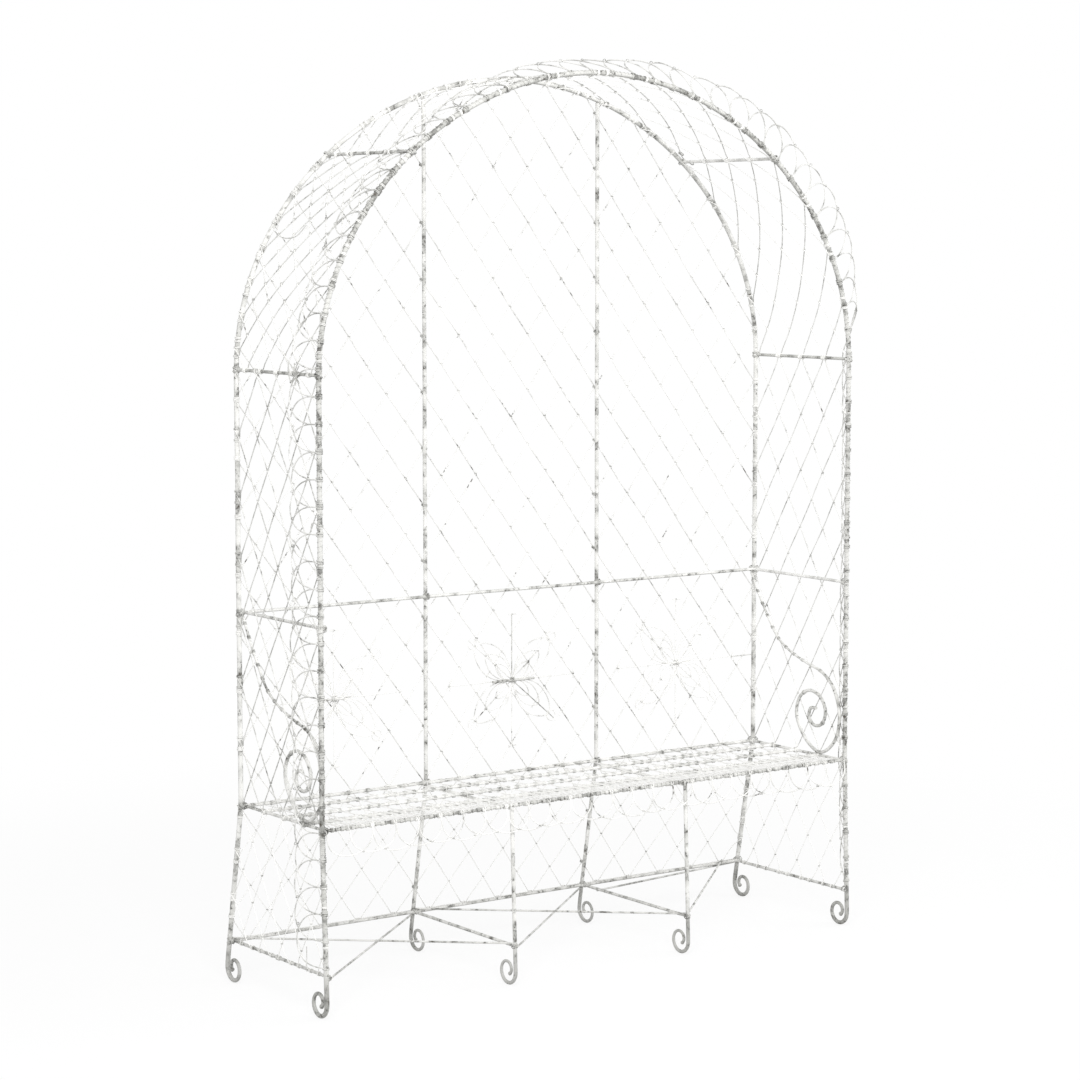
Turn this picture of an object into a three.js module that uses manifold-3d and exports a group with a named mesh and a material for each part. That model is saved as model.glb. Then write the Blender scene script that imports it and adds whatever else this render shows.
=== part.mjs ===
import * as THREE from "three";
import { mergeVertices } from "three/addons/utils/BufferGeometryUtils.js";
import Module from "manifold-3d";

// A garden arbour seat in painted wirework: two arched hoops on scroll feet, tied by rails and stretchers,
// with diamond lattice on the back, ends and roof, a looped wire edging and a slatted wire seat.
// Millimetres, +X to the right seen from the front, +Y to the back, +Z up.

// Overall form
const WIDTH = 1624;
const DEPTH = 380;
const STRETCHER_HEIGHT = 102;
const SEAT_HEIGHT = 450;
const ARM_HEIGHT = 927;
const SPRING_HEIGHT = 1515;
const ARCH_RISE = 716;
const BACK_SPLAY = 64;
const FRONT_SPLAY = 14;

// Rods, as diameters
const HOOP_ROD = 12;
const POST_ROD = 10;
const ARM_ROD = 9;
const RAIL_ROD = 8;
const BRACE_ROD = 5;

// Wires, as diameters
const LATTICE_WIRE = 3;
const LACING_WIRE = 2.4;
const LOOP_WIRE = 3;
const ROSETTE_WIRE = 3;

// Scroll feet
const SCROLL_RADIUS = 33;
const FOOT_FLAT = 0.5;

// Lattice, edging and ornament
const DIAMOND_WIDTH = 108;
const DIAMOND_HEIGHT = 142;
const END_DIAMOND_WIDTH = 95;
const END_DIAMOND_HEIGHT = 150;
const ROOF_DIAMOND_LENGTH = 150;
const CLOSE_DIAMOND_WIDTH = 76;
const CLOSE_DIAMOND_LENGTH = 86;
const LACING_PITCH = 72;
const LOOP_PITCH = 64;
const EDGING_DEPTH = 101;
const APRON_DEPTH = 68;
const ROSETTE_ABOVE_SEAT = 239;
const ROSETTE_REACH = 196;
const ROSETTE_DIAGONAL = 176;
const PETAL_LENGTH = 140;
const PETAL_WIDTH = 52;
const HUB_DIAMETER = 22;
const HUB_THICKNESS = 4;
const KNOT_DIAMETER = 5;

// Where one end of the two short braces stops, in from the corner leg
const BRACE_SHORT_OF_CORNER_BACK = 64;
const BRACE_SHORT_OF_CORNER_END = 50;

// The gap that touching pieces keep, and the least distance that tells two points apart
const GAP = 0.3;
const WELD = 0.0001;

// The arch is a superellipse: an exponent a little under 2 makes flatter haunches than an ellipse
const ARCH_EXPONENT = 1.95;
const ARCH_STEPS = 24;
const UPPER_BAR_SHARES = [0.25, 0.75];

// The scroll turns this far and ends at this share of its radius
const SCROLL_TURN = THREE.MathUtils.degToRad(415);
const SCROLL_STEPS = 16;
const SCROLL_END_SHARE = 0.3;
const SCROLL_TIGHTENING = 1.7;

// Arm rod: places from the back post to the eye of the volute, as shares of half the depth, towards the
// back, and of the height from the seat rail to the arm rail
const ARM_SHARES = [
  [1.0, 0.98],
  [0.826, 0.86],
  [0.617, 0.735],
  [0.397, 0.622],
  [0.11, 0.552],
  [-0.253, 0.501],
  [-0.579, 0.462],
  [-0.826, 0.378],
  [-0.948, 0.228],
  [-0.854, 0.084],
  [-0.556, 0],
  [-0.248, 0.055],
  [-0.033, 0.19],
  [-0.099, 0.298],
  [-0.303, 0.346],
  [-0.534, 0.321],
  [-0.65, 0.242],
  [-0.579, 0.166],
  [-0.413, 0.15],
  [-0.303, 0.19],
  [-0.331, 0.243],
  [-0.452, 0.25],
];
const ARM_STEPS = 38;

// How far the edging leans from straight outward towards the back, in degrees, along the arch
const LEAN_PLACE_SHARES = [0, 0.25, 0.5, 0.62, 0.72, 0.86, 0.94, 1];
const LEAN_DEGREES = [77, 86, 72, 47, 22, 12, 31, 77];

// A hairpin loop bows out over two pitches: steps, and how full its shoulders are
const LOOP_STEPS = 5;
const LOOP_FULLNESS = 0.7;
const PETAL_STEPS = 5;
const PETAL_FULLNESS = 0.6;

// Seat rods lie at these shares of half the depth
const SEAT_ROD_SHARES = [-0.5, 0, 0.5];

// Faces round a rod, round a wire and round a hub
const ROD_SIDES = 6;
const WIRE_SIDES = 3;
const HUB_SIDES = 8;

const HALF_WIDTH = WIDTH / 2;
const HALF_DEPTH = DEPTH / 2;
const BAY = WIDTH / 3;
const LEG_DROP = SEAT_HEIGHT - STRETCHER_HEIGHT;
const ROSETTE_HEIGHT = SEAT_HEIGHT + ROSETTE_ABOVE_SEAT;

const wasm = await Module();
wasm.setup();

// How far a six-sided rod's flats, and the sides of a three-sided wire, lie from the centre line
const faceOf = (diameter) => (diameter / 2) * Math.cos(Math.PI / ROD_SIDES);

const at = (x, y, z) => new THREE.Vector3(x, y, z);
const flat = (u, v) => new THREE.Vector2(u, v);

// A path of straight stretches whose sections lie halfway between the stretches that meet there.
class RodPath extends THREE.Curve {
  constructor(points) {
    super();
    this.points = points;
    this.spans = points.length - 1;
  }

  getPoint(t, target = new THREE.Vector3()) {
    const place = t * this.spans;
    const i = Math.min(Math.floor(place + WELD), this.spans - 1);
    return target.lerpVectors(this.points[i], this.points[i + 1], place - i);
  }

  getPointAt(u, target) {
    return this.getPoint(u, target);
  }

  getTangentAt(u, target = new THREE.Vector3()) {
    const i = Math.round(u * this.spans);
    target.set(0, 0, 0);
    if (i > 0) target.add(this.points[i].clone().sub(this.points[i - 1]).normalize());
    if (i < this.spans) target.add(this.points[i + 1].clone().sub(this.points[i]).normalize());
    return target.normalize();
  }
}

// The centre line of the arch from the left spring over the crown to the right spring.
class ArchCurve extends THREE.Curve {
  getPoint(t, target = new THREE.Vector3()) {
    const angle = Math.PI * (1 - t);
    const across = Math.cos(angle);
    const x = HALF_WIDTH * Math.sign(across) * Math.abs(across) ** (2 / ARCH_EXPONENT);
    const z = SPRING_HEIGHT + ARCH_RISE * Math.abs(Math.sin(angle)) ** (2 / ARCH_EXPONENT);
    return target.set(x, 0, z);
  }
}

function rodGeometry(points, diameter, sides = ROD_SIDES) {
  const corners = Array.from({ length: sides }, (_, i) => {
    const angle = (2 * Math.PI * i) / sides;
    return flat(Math.cos(angle), Math.sin(angle)).multiplyScalar(diameter / 2);
  });
  return new THREE.ExtrudeGeometry(new THREE.Shape(corners), {
    steps: points.length - 1,
    bevelEnabled: false,
    extrudePath: new RodPath(points),
  });
}

function solidOf(geometry) {
  geometry.deleteAttribute("normal");
  geometry.deleteAttribute("uv");
  const merged = mergeVertices(geometry, WELD);
  return new wasm.Manifold(
    new wasm.Mesh({
      numProp: 3,
      vertProperties: merged.attributes.position.array,
      triVerts: new Uint32Array(merged.index.array),
    }),
  );
}

function geometryOf(solid) {
  const mesh = solid.getMesh();
  const geometry = new THREE.BufferGeometry();
  geometry.setAttribute("position", new THREE.BufferAttribute(mesh.vertProperties, mesh.numProp));
  geometry.setIndex(new THREE.BufferAttribute(mesh.triVerts, 1));
  return geometry;
}

const rod = (points, diameter, sides) => solidOf(rodGeometry(points, diameter, sides));

// A wire's path with each bend sharper than a right angle cut across, as wire turns round a rod.
function eased(points, diameter) {
  return points.flatMap((point, i) => {
    if (i === 0 || i === points.length - 1) return [point];
    const back = points[i - 1].clone().sub(point);
    const on = points[i + 1].clone().sub(point);
    if (back.angleTo(on) > Math.PI / 2) return [point];
    return [back, on].map((leg) => leg.setLength(Math.min(diameter, leg.length() / 2)).add(point));
  });
}

const wire = (points, diameter) => rod(eased(points, diameter), diameter, WIRE_SIDES);
const joined = (solids) => solids.reduce((whole, piece) => whole.add(piece));

// Everything below the floor plane is taken off a rod, which leaves a small flat to stand on.
function standing(solid) {
  const block = new THREE.BoxGeometry(2 * WIDTH, 2 * WIDTH, SCROLL_RADIUS);
  block.translate(0, 0, -SCROLL_RADIUS / 2);
  return solid.subtract(solidOf(block));
}

// Arch stations: points on the centre line at equal steps, each with its outward direction.
const ARCH = Array.from({ length: ARCH_STEPS + 1 }, (_, i) => {
  const point = new ArchCurve().getPointAt(i / ARCH_STEPS);
  return { point, outward: at(0, 0, 0) };
});
const ARCH_STEP = ARCH[0].point.distanceTo(ARCH[1].point);
ARCH.forEach((station, i) => {
  const last = ARCH[Math.max(i - 1, 0)].point;
  const next = ARCH[Math.min(i + 1, ARCH_STEPS)].point;
  const along = next.clone().sub(last).normalize();
  if (i === 0 || i === ARCH_STEPS) along.set(0, 0, i === 0 ? 1 : -1);
  station.outward.set(-along.z, 0, along.x);
});

// A place over the arch: steps walked from the left spring, depth position, and height off the centre line.
function archPlace(steps, y, lift) {
  const i = Math.min(Math.max(Math.floor(steps + WELD), 0), ARCH_STEPS - 1);
  const from = ARCH[i].point.clone().addScaledVector(ARCH[i].outward, lift);
  const to = ARCH[i + 1].point.clone().addScaledVector(ARCH[i + 1].outward, lift);
  return from.lerp(to, steps - i).setY(y);
}

// The height of the arch's centre line at a distance from the middle.
function archHeight(x) {
  const i = ARCH.findIndex((station) => station.point.x >= -Math.abs(x));
  const low = ARCH[i - 1].point;
  const high = ARCH[i].point;
  return THREE.MathUtils.mapLinear(-Math.abs(x), low.x, high.x, low.z, high.z);
}

// Where a leg's centre line stands at a height below the seat, for side 1 at the back and -1 at the front.
const splayOf = (side) => (side > 0 ? BACK_SPLAY : FRONT_SPLAY);
const legDepth = (side, top, z) => top + (side * splayOf(side) * (SEAT_HEIGHT - z)) / LEG_DROP;

// A leg from the seat to the end of its scroll, which curls inward under the seat.
function legPoints(x, side, top, diameter) {
  const tilt = Math.atan(splayOf(side) / LEG_DROP);
  const scroll = Array.from({ length: SCROLL_STEPS + 1 }, (_, i) => {
    const share = i / SCROLL_STEPS;
    const angle = share * SCROLL_TURN - tilt;
    const radius = SCROLL_RADIUS * (1 - (1 - SCROLL_END_SHARE) * share ** SCROLL_TIGHTENING);
    return flat(radius * Math.cos(angle), -radius * Math.sin(angle));
  });
  const lowest = Math.min(...scroll.map((spot) => spot.y));
  const centreHeight = faceOf(diameter) - FOOT_FLAT - lowest;
  const centreDepth = legDepth(side, top, centreHeight + scroll[0].y) - side * scroll[0].x;
  const curl = scroll.map((spot) => at(x, centreDepth + side * spot.x, centreHeight + spot.y));
  return [at(x, top, SEAT_HEIGHT), ...curl];
}

function hoopSolid(side) {
  const y = side * HALF_DEPTH;
  const left = legPoints(-HALF_WIDTH, side, y, HOOP_ROD).reverse();
  const right = legPoints(HALF_WIDTH, side, y, HOOP_ROD);
  const arch = ARCH.map((station) => station.point.clone().setY(y));
  return standing(rod([...left, ...arch, ...right], HOOP_ROD));
}

// Uprights stand a little forward of the back hoop, so that the rails in front touch both.
const UPRIGHT_DEPTH = HALF_DEPTH - faceOf(HOOP_ROD) + POST_ROD / 2;

function uprightSolid(x) {
  const edge = Math.abs(x) + POST_ROD / 2;
  const slope = Math.atan2(archHeight(Math.abs(x)) - archHeight(edge), POST_ROD / 2);
  const top = archHeight(edge) - HOOP_ROD / 2 / Math.cos(slope) - GAP;
  const points = [at(x, UPRIGHT_DEPTH, top), ...legPoints(x, 1, UPRIGHT_DEPTH, POST_ROD)];
  return standing(rod(points, POST_ROD));
}

function frontLegSolid(x) {
  const points = legPoints(x, -1, -HALF_DEPTH, POST_ROD);
  points[0].z -= RAIL_ROD / 2 + GAP;
  points[0].y = legDepth(-1, -HALF_DEPTH, points[0].z);
  return standing(rod(points, POST_ROD));
}

// Rails lie against the inner faces of the posts.
const RAIL_INSET = faceOf(HOOP_ROD) + GAP + faceOf(RAIL_ROD);
const BACK_RAIL_DEPTH = HALF_DEPTH - RAIL_INSET;
const END_RAIL_X = HALF_WIDTH - HOOP_ROD / 2 - GAP - faceOf(RAIL_ROD);
const BACK_STRETCHER_DEPTH =
  legDepth(1, HALF_DEPTH, STRETCHER_HEIGHT) -
  (faceOf(HOOP_ROD) + GAP + RAIL_ROD / 2) * Math.hypot(1, BACK_SPLAY / LEG_DROP);
const FRONT_LEG_DEPTH = legDepth(-1, -HALF_DEPTH, STRETCHER_HEIGHT);
const BUTT = faceOf(RAIL_ROD) + GAP;

const across = (y, z, reach) => [at(-reach, y, z), at(reach, y, z)];
const along = (x, from, to, z) => [at(x, from, z), at(x, to, z)];

// A straight brace between two points, stopped short of each by the radius of what stands there.
function brace(from, to, fromStop, toStop) {
  const run = to.clone().sub(from).normalize();
  const start = from.clone().addScaledVector(run, fromStop);
  const end = to.clone().addScaledVector(run, -toStop);
  return rod([start, end], BRACE_ROD);
}

function armSolid(side) {
  const x = side * (HALF_WIDTH - HOOP_ROD / 2 - GAP - ARM_ROD / 2);
  const floor = SEAT_HEIGHT + RAIL_ROD / 2 + GAP + ARM_ROD / 2;
  const places = ARM_SHARES.map(([back, up]) =>
    at(x, back * HALF_DEPTH, THREE.MathUtils.lerp(floor, ARM_HEIGHT, up)),
  );
  const curve = new THREE.CatmullRomCurve3(places, false, "centripetal");
  return rod(curve.getSpacedPoints(ARM_STEPS), ARM_ROD);
}

// The stretch of a line that lies inside a convex outline given anticlockwise, or null.
function stretchInside(outline, point, step) {
  let low = -Infinity;
  let high = Infinity;
  outline.forEach((corner, i) => {
    const edge = outline[(i + 1) % outline.length].clone().sub(corner);
    const depth = edge.cross(point.clone().sub(corner));
    const rate = edge.cross(step);
    if (Math.abs(rate) < WELD) return;
    if (rate > 0) low = Math.max(low, -depth / rate);
    else high = Math.min(high, -depth / rate);
  });
  if (high <= low) return null;
  return [low, high].map((t) => point.clone().addScaledVector(step, t));
}

// The corners of an outline that a wire passes as it follows the outline from one point on it to another.
function cornersBetween(outline, from, to) {
  const lengths = [0];
  outline.forEach((corner, i) => lengths.push(lengths[i] + corner.distanceTo(outline[(i + 1) % outline.length])));
  const total = lengths[outline.length];
  const placeOf = (point) => {
    const gaps = outline.map((corner, i) => {
      const next = outline[(i + 1) % outline.length];
      return corner.distanceTo(point) + point.distanceTo(next) - corner.distanceTo(next);
    });
    const i = gaps.indexOf(Math.min(...gaps));
    return lengths[i] + outline[i].distanceTo(point);
  };
  const start = placeOf(from);
  const forward = (placeOf(to) - start + total) % total;
  const backward = total - forward;
  const passed = outline.map((corner, i) => {
    const ahead = (lengths[i] - start + total) % total;
    return { corner, ahead, behind: total - ahead };
  });
  const near = WELD * total;
  if (forward <= backward) {
    const kept = passed.filter(({ ahead }) => ahead > near && ahead < forward - near);
    return kept.sort((a, b) => a.ahead - b.ahead).map(({ corner }) => corner);
  }
  const kept = passed.filter(({ behind }) => behind > near && behind < backward - near);
  return kept.sort((a, b) => a.behind - b.behind).map(({ corner }) => corner);
}

// A diamond lattice inside an outline. Each of its two layers is one unbroken wire that crosses the panel
// slantwise, follows the outline to its next crossing and comes back, and a knot in the middle ties the
// layers. place turns a flat point and a height into a place on the object, and folds lists the points
// where a stretch of wire goes over a fold of the panel.
function latticeSolid({ outline, origin, cell, place, folds = () => [] }) {
  const layer = (LATTICE_WIRE + GAP) / 2;
  const us = outline.map((corner) => (corner.x - origin.x) / cell.x);
  const vs = outline.map((corner) => (corner.y - origin.y) / cell.y);
  const reach = Math.ceil(Math.max(...us) - Math.min(...us) + Math.max(...vs) - Math.min(...vs));
  const pieces = [1, -1].map((lean) => {
    const path = [];
    for (let k = -reach; k <= reach; k++) {
      const start = flat(origin.x + k * cell.x, origin.y);
      const found = stretchInside(outline, start, flat(cell.x, lean * cell.y));
      if (!found || found[0].distanceTo(found[1]) < Math.min(cell.x, cell.y) / 4) continue;
      if (path.turned) found.reverse();
      path.turned = !path.turned;
      if (path.length) path.push(...cornersBetween(outline, path[path.length - 1], found[0]));
      path.push(...found);
    }
    const spots = path.flatMap((spot, i) => (i ? [...folds(path[i - 1], spot), spot] : [spot]));
    const points = spots.map((spot) => place(spot, lean * layer));
    return wire(points, LATTICE_WIRE);
  });
  const middle = [us, vs].map((list) => Math.round((Math.min(...list) + Math.max(...list)) / 2));
  const crossing = flat(origin.x + middle[0] * cell.x, origin.y + middle[1] * cell.y);
  const ends = [-layer, layer].map((lift) => place(crossing, lift));
  return joined([...pieces, rod(ends, KNOT_DIAMETER)]);
}

const rectangle = (left, right, low, high) => [
  flat(left, low),
  flat(right, low),
  flat(right, high),
  flat(left, high),
];

const PANEL_BEHIND = faceOf(HOOP_ROD) + GAP + LATTICE_WIRE + GAP / 2;
const PANEL_INSET = faceOf(HOOP_ROD) + GAP + faceOf(LATTICE_WIRE);
const BAR_INSET = RAIL_ROD / 2 + GAP + LATTICE_WIRE / 2;
const SEAM_INSET = (LATTICE_WIRE + GAP) / 2;

// Behind the back hoop, from the seat to the arch, with its outline on the hoop's own line.
function backLattice() {
  const outline = [
    flat(-HALF_WIDTH, SEAT_HEIGHT + SEAM_INSET),
    flat(HALF_WIDTH, SEAT_HEIGHT + SEAM_INSET),
    ...ARCH.map((station) => flat(station.point.x, station.point.z)).reverse(),
  ];
  const columns = Math.round(WIDTH / DIAMOND_WIDTH);
  return latticeSolid({
    outline,
    origin: flat(-HALF_WIDTH, SEAT_HEIGHT),
    cell: flat(WIDTH / columns, DIAMOND_HEIGHT),
    place: (spot, lift) => at(spot.x, HALF_DEPTH + PANEL_BEHIND - lift, spot.y),
  });
}

// Behind the back legs, in the plane of their splay.
function backSkirt() {
  const columns = Math.round(WIDTH / DIAMOND_WIDTH);
  const lean = Math.hypot(1, BACK_SPLAY / LEG_DROP);
  return latticeSolid({
    outline: rectangle(-HALF_WIDTH, HALF_WIDTH, STRETCHER_HEIGHT, SEAT_HEIGHT - SEAM_INSET),
    origin: flat(-HALF_WIDTH, SEAT_HEIGHT),
    cell: flat(WIDTH / columns, DIAMOND_HEIGHT),
    place: (spot, lift) => at(spot.x, legDepth(1, HALF_DEPTH, spot.y) + (PANEL_BEHIND - lift) * lean, spot.y),
  });
}

// Between the corner posts, in their own plane, from the seat to the spring bar.
function endLattice(side) {
  const reach = HALF_DEPTH - PANEL_INSET;
  const low = SEAT_HEIGHT + BAR_INSET;
  const high = SPRING_HEIGHT - BAR_INSET;
  const columns = Math.round(DEPTH / END_DIAMOND_WIDTH);
  const rows = Math.round((high - low) / END_DIAMOND_HEIGHT);
  return latticeSolid({
    outline: rectangle(-reach, reach, low, high),
    origin: flat(-reach, low),
    cell: flat((2 * reach) / columns, (high - low) / rows),
    place: (spot, lift) => at(side * (HALF_WIDTH + lift), spot.x, spot.y),
  });
}

function endSkirt(side) {
  const high = SEAT_HEIGHT - BAR_INSET;
  const low = STRETCHER_HEIGHT + BAR_INSET;
  const front = (z) => legDepth(-1, -HALF_DEPTH, z) + PANEL_INSET;
  const back = (z) => legDepth(1, HALF_DEPTH, z) - PANEL_INSET * Math.hypot(1, BACK_SPLAY / LEG_DROP);
  const columns = Math.round(DEPTH / END_DIAMOND_WIDTH);
  return latticeSolid({
    outline: [flat(front(low), low), flat(back(low), low), flat(back(high), high), flat(front(high), high)],
    origin: flat(front(high), high),
    cell: flat((back(high) - front(high)) / columns, END_DIAMOND_HEIGHT),
    place: (spot, lift) => at(side * (HALF_WIDTH + lift), spot.x, spot.y),
  });
}

// Over the arch between the hoops, from one bar to the next. A wire is folded at each arch station.
function roofLattice(fromShare, toShare, diamondLength, diamondWidth) {
  const inset = BAR_INSET / ARCH_STEP;
  const from = fromShare * ARCH_STEPS + inset;
  const to = toShare * ARCH_STEPS - inset;
  const reach = HALF_DEPTH - PANEL_INSET;
  const columns = Math.round(DEPTH / diamondWidth);
  const fieldSteps = (toShare - fromShare) * ARCH_STEPS;
  const diamonds = Math.round((fieldSteps * ARCH_STEP) / diamondLength);
  const folds = (a, b) => {
    const stops = [];
    const low = Math.min(a.x, b.x);
    const high = Math.max(a.x, b.x);
    for (let i = Math.ceil(low + WELD); i < high - WELD; i++) {
      stops.push(a.clone().lerp(b, (i - a.x) / (b.x - a.x)));
    }
    return a.x > b.x ? stops.reverse() : stops;
  };
  return latticeSolid({
    outline: rectangle(from, to, -reach, reach),
    origin: flat(fromShare * ARCH_STEPS, -reach),
    cell: flat(fieldSteps / diamonds, (2 * reach) / columns),
    place: (spot, lift) => archPlace(spot.x, spot.y, lift),
    folds,
  });
}

// A wire laced to and fro on top of the seat, from one rod to the next.
function seatLacing(front, back) {
  const reach = HALF_WIDTH - HOOP_ROD / 2 - ARM_ROD - 2 * GAP - LACING_WIRE;
  const height = SEAT_HEIGHT + RAIL_ROD / 2 + GAP + LACING_WIRE / 2;
  const turns = 2 * Math.round((2 * reach) / LACING_PITCH);
  const points = Array.from({ length: turns + 1 }, (_, i) => {
    const x = THREE.MathUtils.lerp(-reach, reach, i / turns);
    return at(x, i % 2 ? back : front, height);
  });
  return wire(points, LACING_WIRE);
}

// A chain of overlapping hairpin loops in one unbroken wire. Each loop spans two pitches, rises in one layer
// and comes down in the other, and the wire then goes back one pitch along its base to start the next.
// place takes pitches along, height and layer, and folds lists the pitches where the base is folded.
function loopChain({ count, depth, place, folds = [] }) {
  const layer = (LOOP_WIRE + GAP) / 2;
  const points = [];
  for (let i = 0; i + 2 <= count; i++) {
    for (let step = 0; step <= LOOP_STEPS; step++) {
      const angle = (Math.PI * step) / LOOP_STEPS;
      const height = step % LOOP_STEPS ? depth * Math.sin(angle) ** LOOP_FULLNESS : 0;
      const side = THREE.MathUtils.clamp(2 * Math.cos(angle), -1, 1);
      points.push(place(i + 1 - Math.cos(angle), height, side * layer));
    }
    if (i + 2 === count) continue;
    const passed = folds.filter((fold) => fold > i + 1 && fold < i + 2).reverse();
    points.push(...passed.map((fold) => place(fold, 0, layer * (2 * (i + 1.5 - fold)))));
  }
  return wire(points, LOOP_WIRE);
}

// The line that the edging is bound to: the front hoop from one stretcher over the arch to the other.
const EDGING_LINE = [
  at(-HALF_WIDTH, FRONT_LEG_DEPTH, STRETCHER_HEIGHT),
  at(-HALF_WIDTH, -HALF_DEPTH, SEAT_HEIGHT),
  ...ARCH.map((station) => station.point.clone().setY(-HALF_DEPTH)),
  at(HALF_WIDTH, -HALF_DEPTH, SEAT_HEIGHT),
  at(HALF_WIDTH, FRONT_LEG_DEPTH, STRETCHER_HEIGHT),
];

// The lean of the edging, in radians, at a share of the way along the arch.
function leanAt(share) {
  const place = THREE.MathUtils.clamp(share, 0, 1);
  const i = Math.max(LEAN_PLACE_SHARES.findIndex((stop) => stop >= place), 1);
  const part = THREE.MathUtils.smoothstep(place, LEAN_PLACE_SHARES[i - 1], LEAN_PLACE_SHARES[i]);
  return THREE.MathUtils.degToRad(THREE.MathUtils.lerp(LEAN_DEGREES[i - 1], LEAN_DEGREES[i], part));
}

function frontEdging() {
  const offset = HOOP_ROD / 2 + GAP + LOOP_WIRE + GAP / 2;
  const lengths = [0];
  EDGING_LINE.slice(1).forEach((point, i) => lengths.push(lengths[i] + point.distanceTo(EDGING_LINE[i])));
  const total = lengths[lengths.length - 1];
  const archStart = lengths[2];
  const archLength = total - 2 * archStart;
  const count = Math.round(total / LOOP_PITCH);
  const outwardOf = (i) => {
    const run = EDGING_LINE[i + 1].clone().sub(EDGING_LINE[i]).normalize();
    return { run, outward: at(-run.z, 0, run.x).normalize() };
  };
  const place = (pitches, height, layer) => {
    const distance = THREE.MathUtils.clamp((pitches * total) / count, 0, total);
    const i = Math.max(lengths.findIndex((length) => length >= distance) - 1, 0);
    const { run, outward } = outwardOf(i);
    const lean = leanAt((distance - archStart) / archLength);
    const rise = outward.clone().multiplyScalar(Math.cos(lean));
    rise.addScaledVector(outward.clone().cross(run), Math.sin(lean));
    const point = EDGING_LINE[i].clone().addScaledVector(run, distance - lengths[i]);
    point.addScaledVector(outward, offset).addScaledVector(rise, height);
    return point.addScaledVector(run.clone().cross(rise), layer);
  };
  const folds = lengths.map((length) => (length * count) / total);
  return loopChain({ count, depth: EDGING_DEPTH, place, folds });
}

function seatApron() {
  const reach = HALF_WIDTH - HOOP_ROD / 2 - GAP - LOOP_WIRE / 2;
  const count = Math.round((2 * reach) / LOOP_PITCH);
  const front = -HALF_DEPTH - faceOf(POST_ROD) - GAP - LOOP_WIRE - GAP / 2;
  const drop = at(0, -FRONT_SPLAY, -LEG_DROP).normalize();
  const place = (pitches, height, layer) => {
    const x = THREE.MathUtils.lerp(-reach, reach, pitches / count);
    return at(x, front + layer, SEAT_HEIGHT).addScaledVector(drop, height);
  };
  return loopChain({ count, depth: APRON_DEPTH, place });
}

// A star of eight spokes in front of the back lattice, and in front of them eight petals in one wire,
// gathered under a hub.
function rosette(x) {
  const latticeFront = HALF_DEPTH + PANEL_BEHIND - LATTICE_WIRE - GAP / 2;
  const spokeDepth = latticeFront - GAP - ROSETTE_WIRE / 2;
  const petalDepth = spokeDepth - ROSETTE_WIRE - GAP;
  const spot = (radius, angle, y) =>
    at(x + radius * Math.cos(angle), y, ROSETTE_HEIGHT + radius * Math.sin(angle));
  const hub = new THREE.CylinderGeometry(HUB_DIAMETER / 2, HUB_DIAMETER / 2, HUB_THICKNESS, HUB_SIDES);
  hub.translate(x, (spokeDepth + petalDepth) / 2, ROSETTE_HEIGHT);
  const pieces = [solidOf(hub)];
  const petals = [];
  const root = HUB_DIAMETER / 2 - ROSETTE_WIRE;
  for (let i = 0; i < 8; i++) {
    const spoke = (Math.PI * i) / 4;
    const reach = i % 2 ? ROSETTE_DIAGONAL : ROSETTE_REACH;
    if (i < 4) {
      const ends = [spot(reach, spoke, spokeDepth), spot(reach, spoke + Math.PI, spokeDepth)];
      pieces.push(rod(ends, ROSETTE_WIRE, WIRE_SIDES));
    }
    const heading = spoke + Math.PI / 8;
    for (let step = 0; step <= PETAL_STEPS; step++) {
      const angle = (Math.PI * step) / PETAL_STEPS;
      const rise = Math.max(Math.sin(angle), 0) ** PETAL_FULLNESS;
      const swell = THREE.MathUtils.lerp(ROSETTE_WIRE / 2, PETAL_WIDTH / 2, rise);
      const radius = THREE.MathUtils.lerp(root, PETAL_LENGTH, rise);
      petals.push(spot(radius, heading - Math.asin((Math.cos(angle) * swell) / radius), petalDepth));
    }
  }
  pieces.push(rod(petals, ROSETTE_WIRE, WIRE_SIDES));
  return joined(pieces);
}

const seat = new THREE.Group();

function add(name, solid, colour) {
  const material = new THREE.MeshStandardMaterial({ color: colour, roughness: 0.75, metalness: 0.1 });
  const mesh = new THREE.Mesh(geometryOf(solid), material);
  mesh.name = name;
  seat.add(mesh);
}

const ROD_PAINT = "#d9d6cd";
const WIRE_PAINT = "#e6e3da";
const ENDS = { left: -1, right: 1 };

// Hoops, uprights and inner legs
add("front_hoop", hoopSolid(-1), ROD_PAINT);
add("back_hoop", hoopSolid(1), ROD_PAINT);
for (const [end, side] of Object.entries(ENDS)) {
  add("back_upright_" + end, uprightSolid((side * BAY) / 2), ROD_PAINT);
  add("front_leg_" + end, frontLegSolid((side * BAY) / 2), ROD_PAINT);
}

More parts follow.
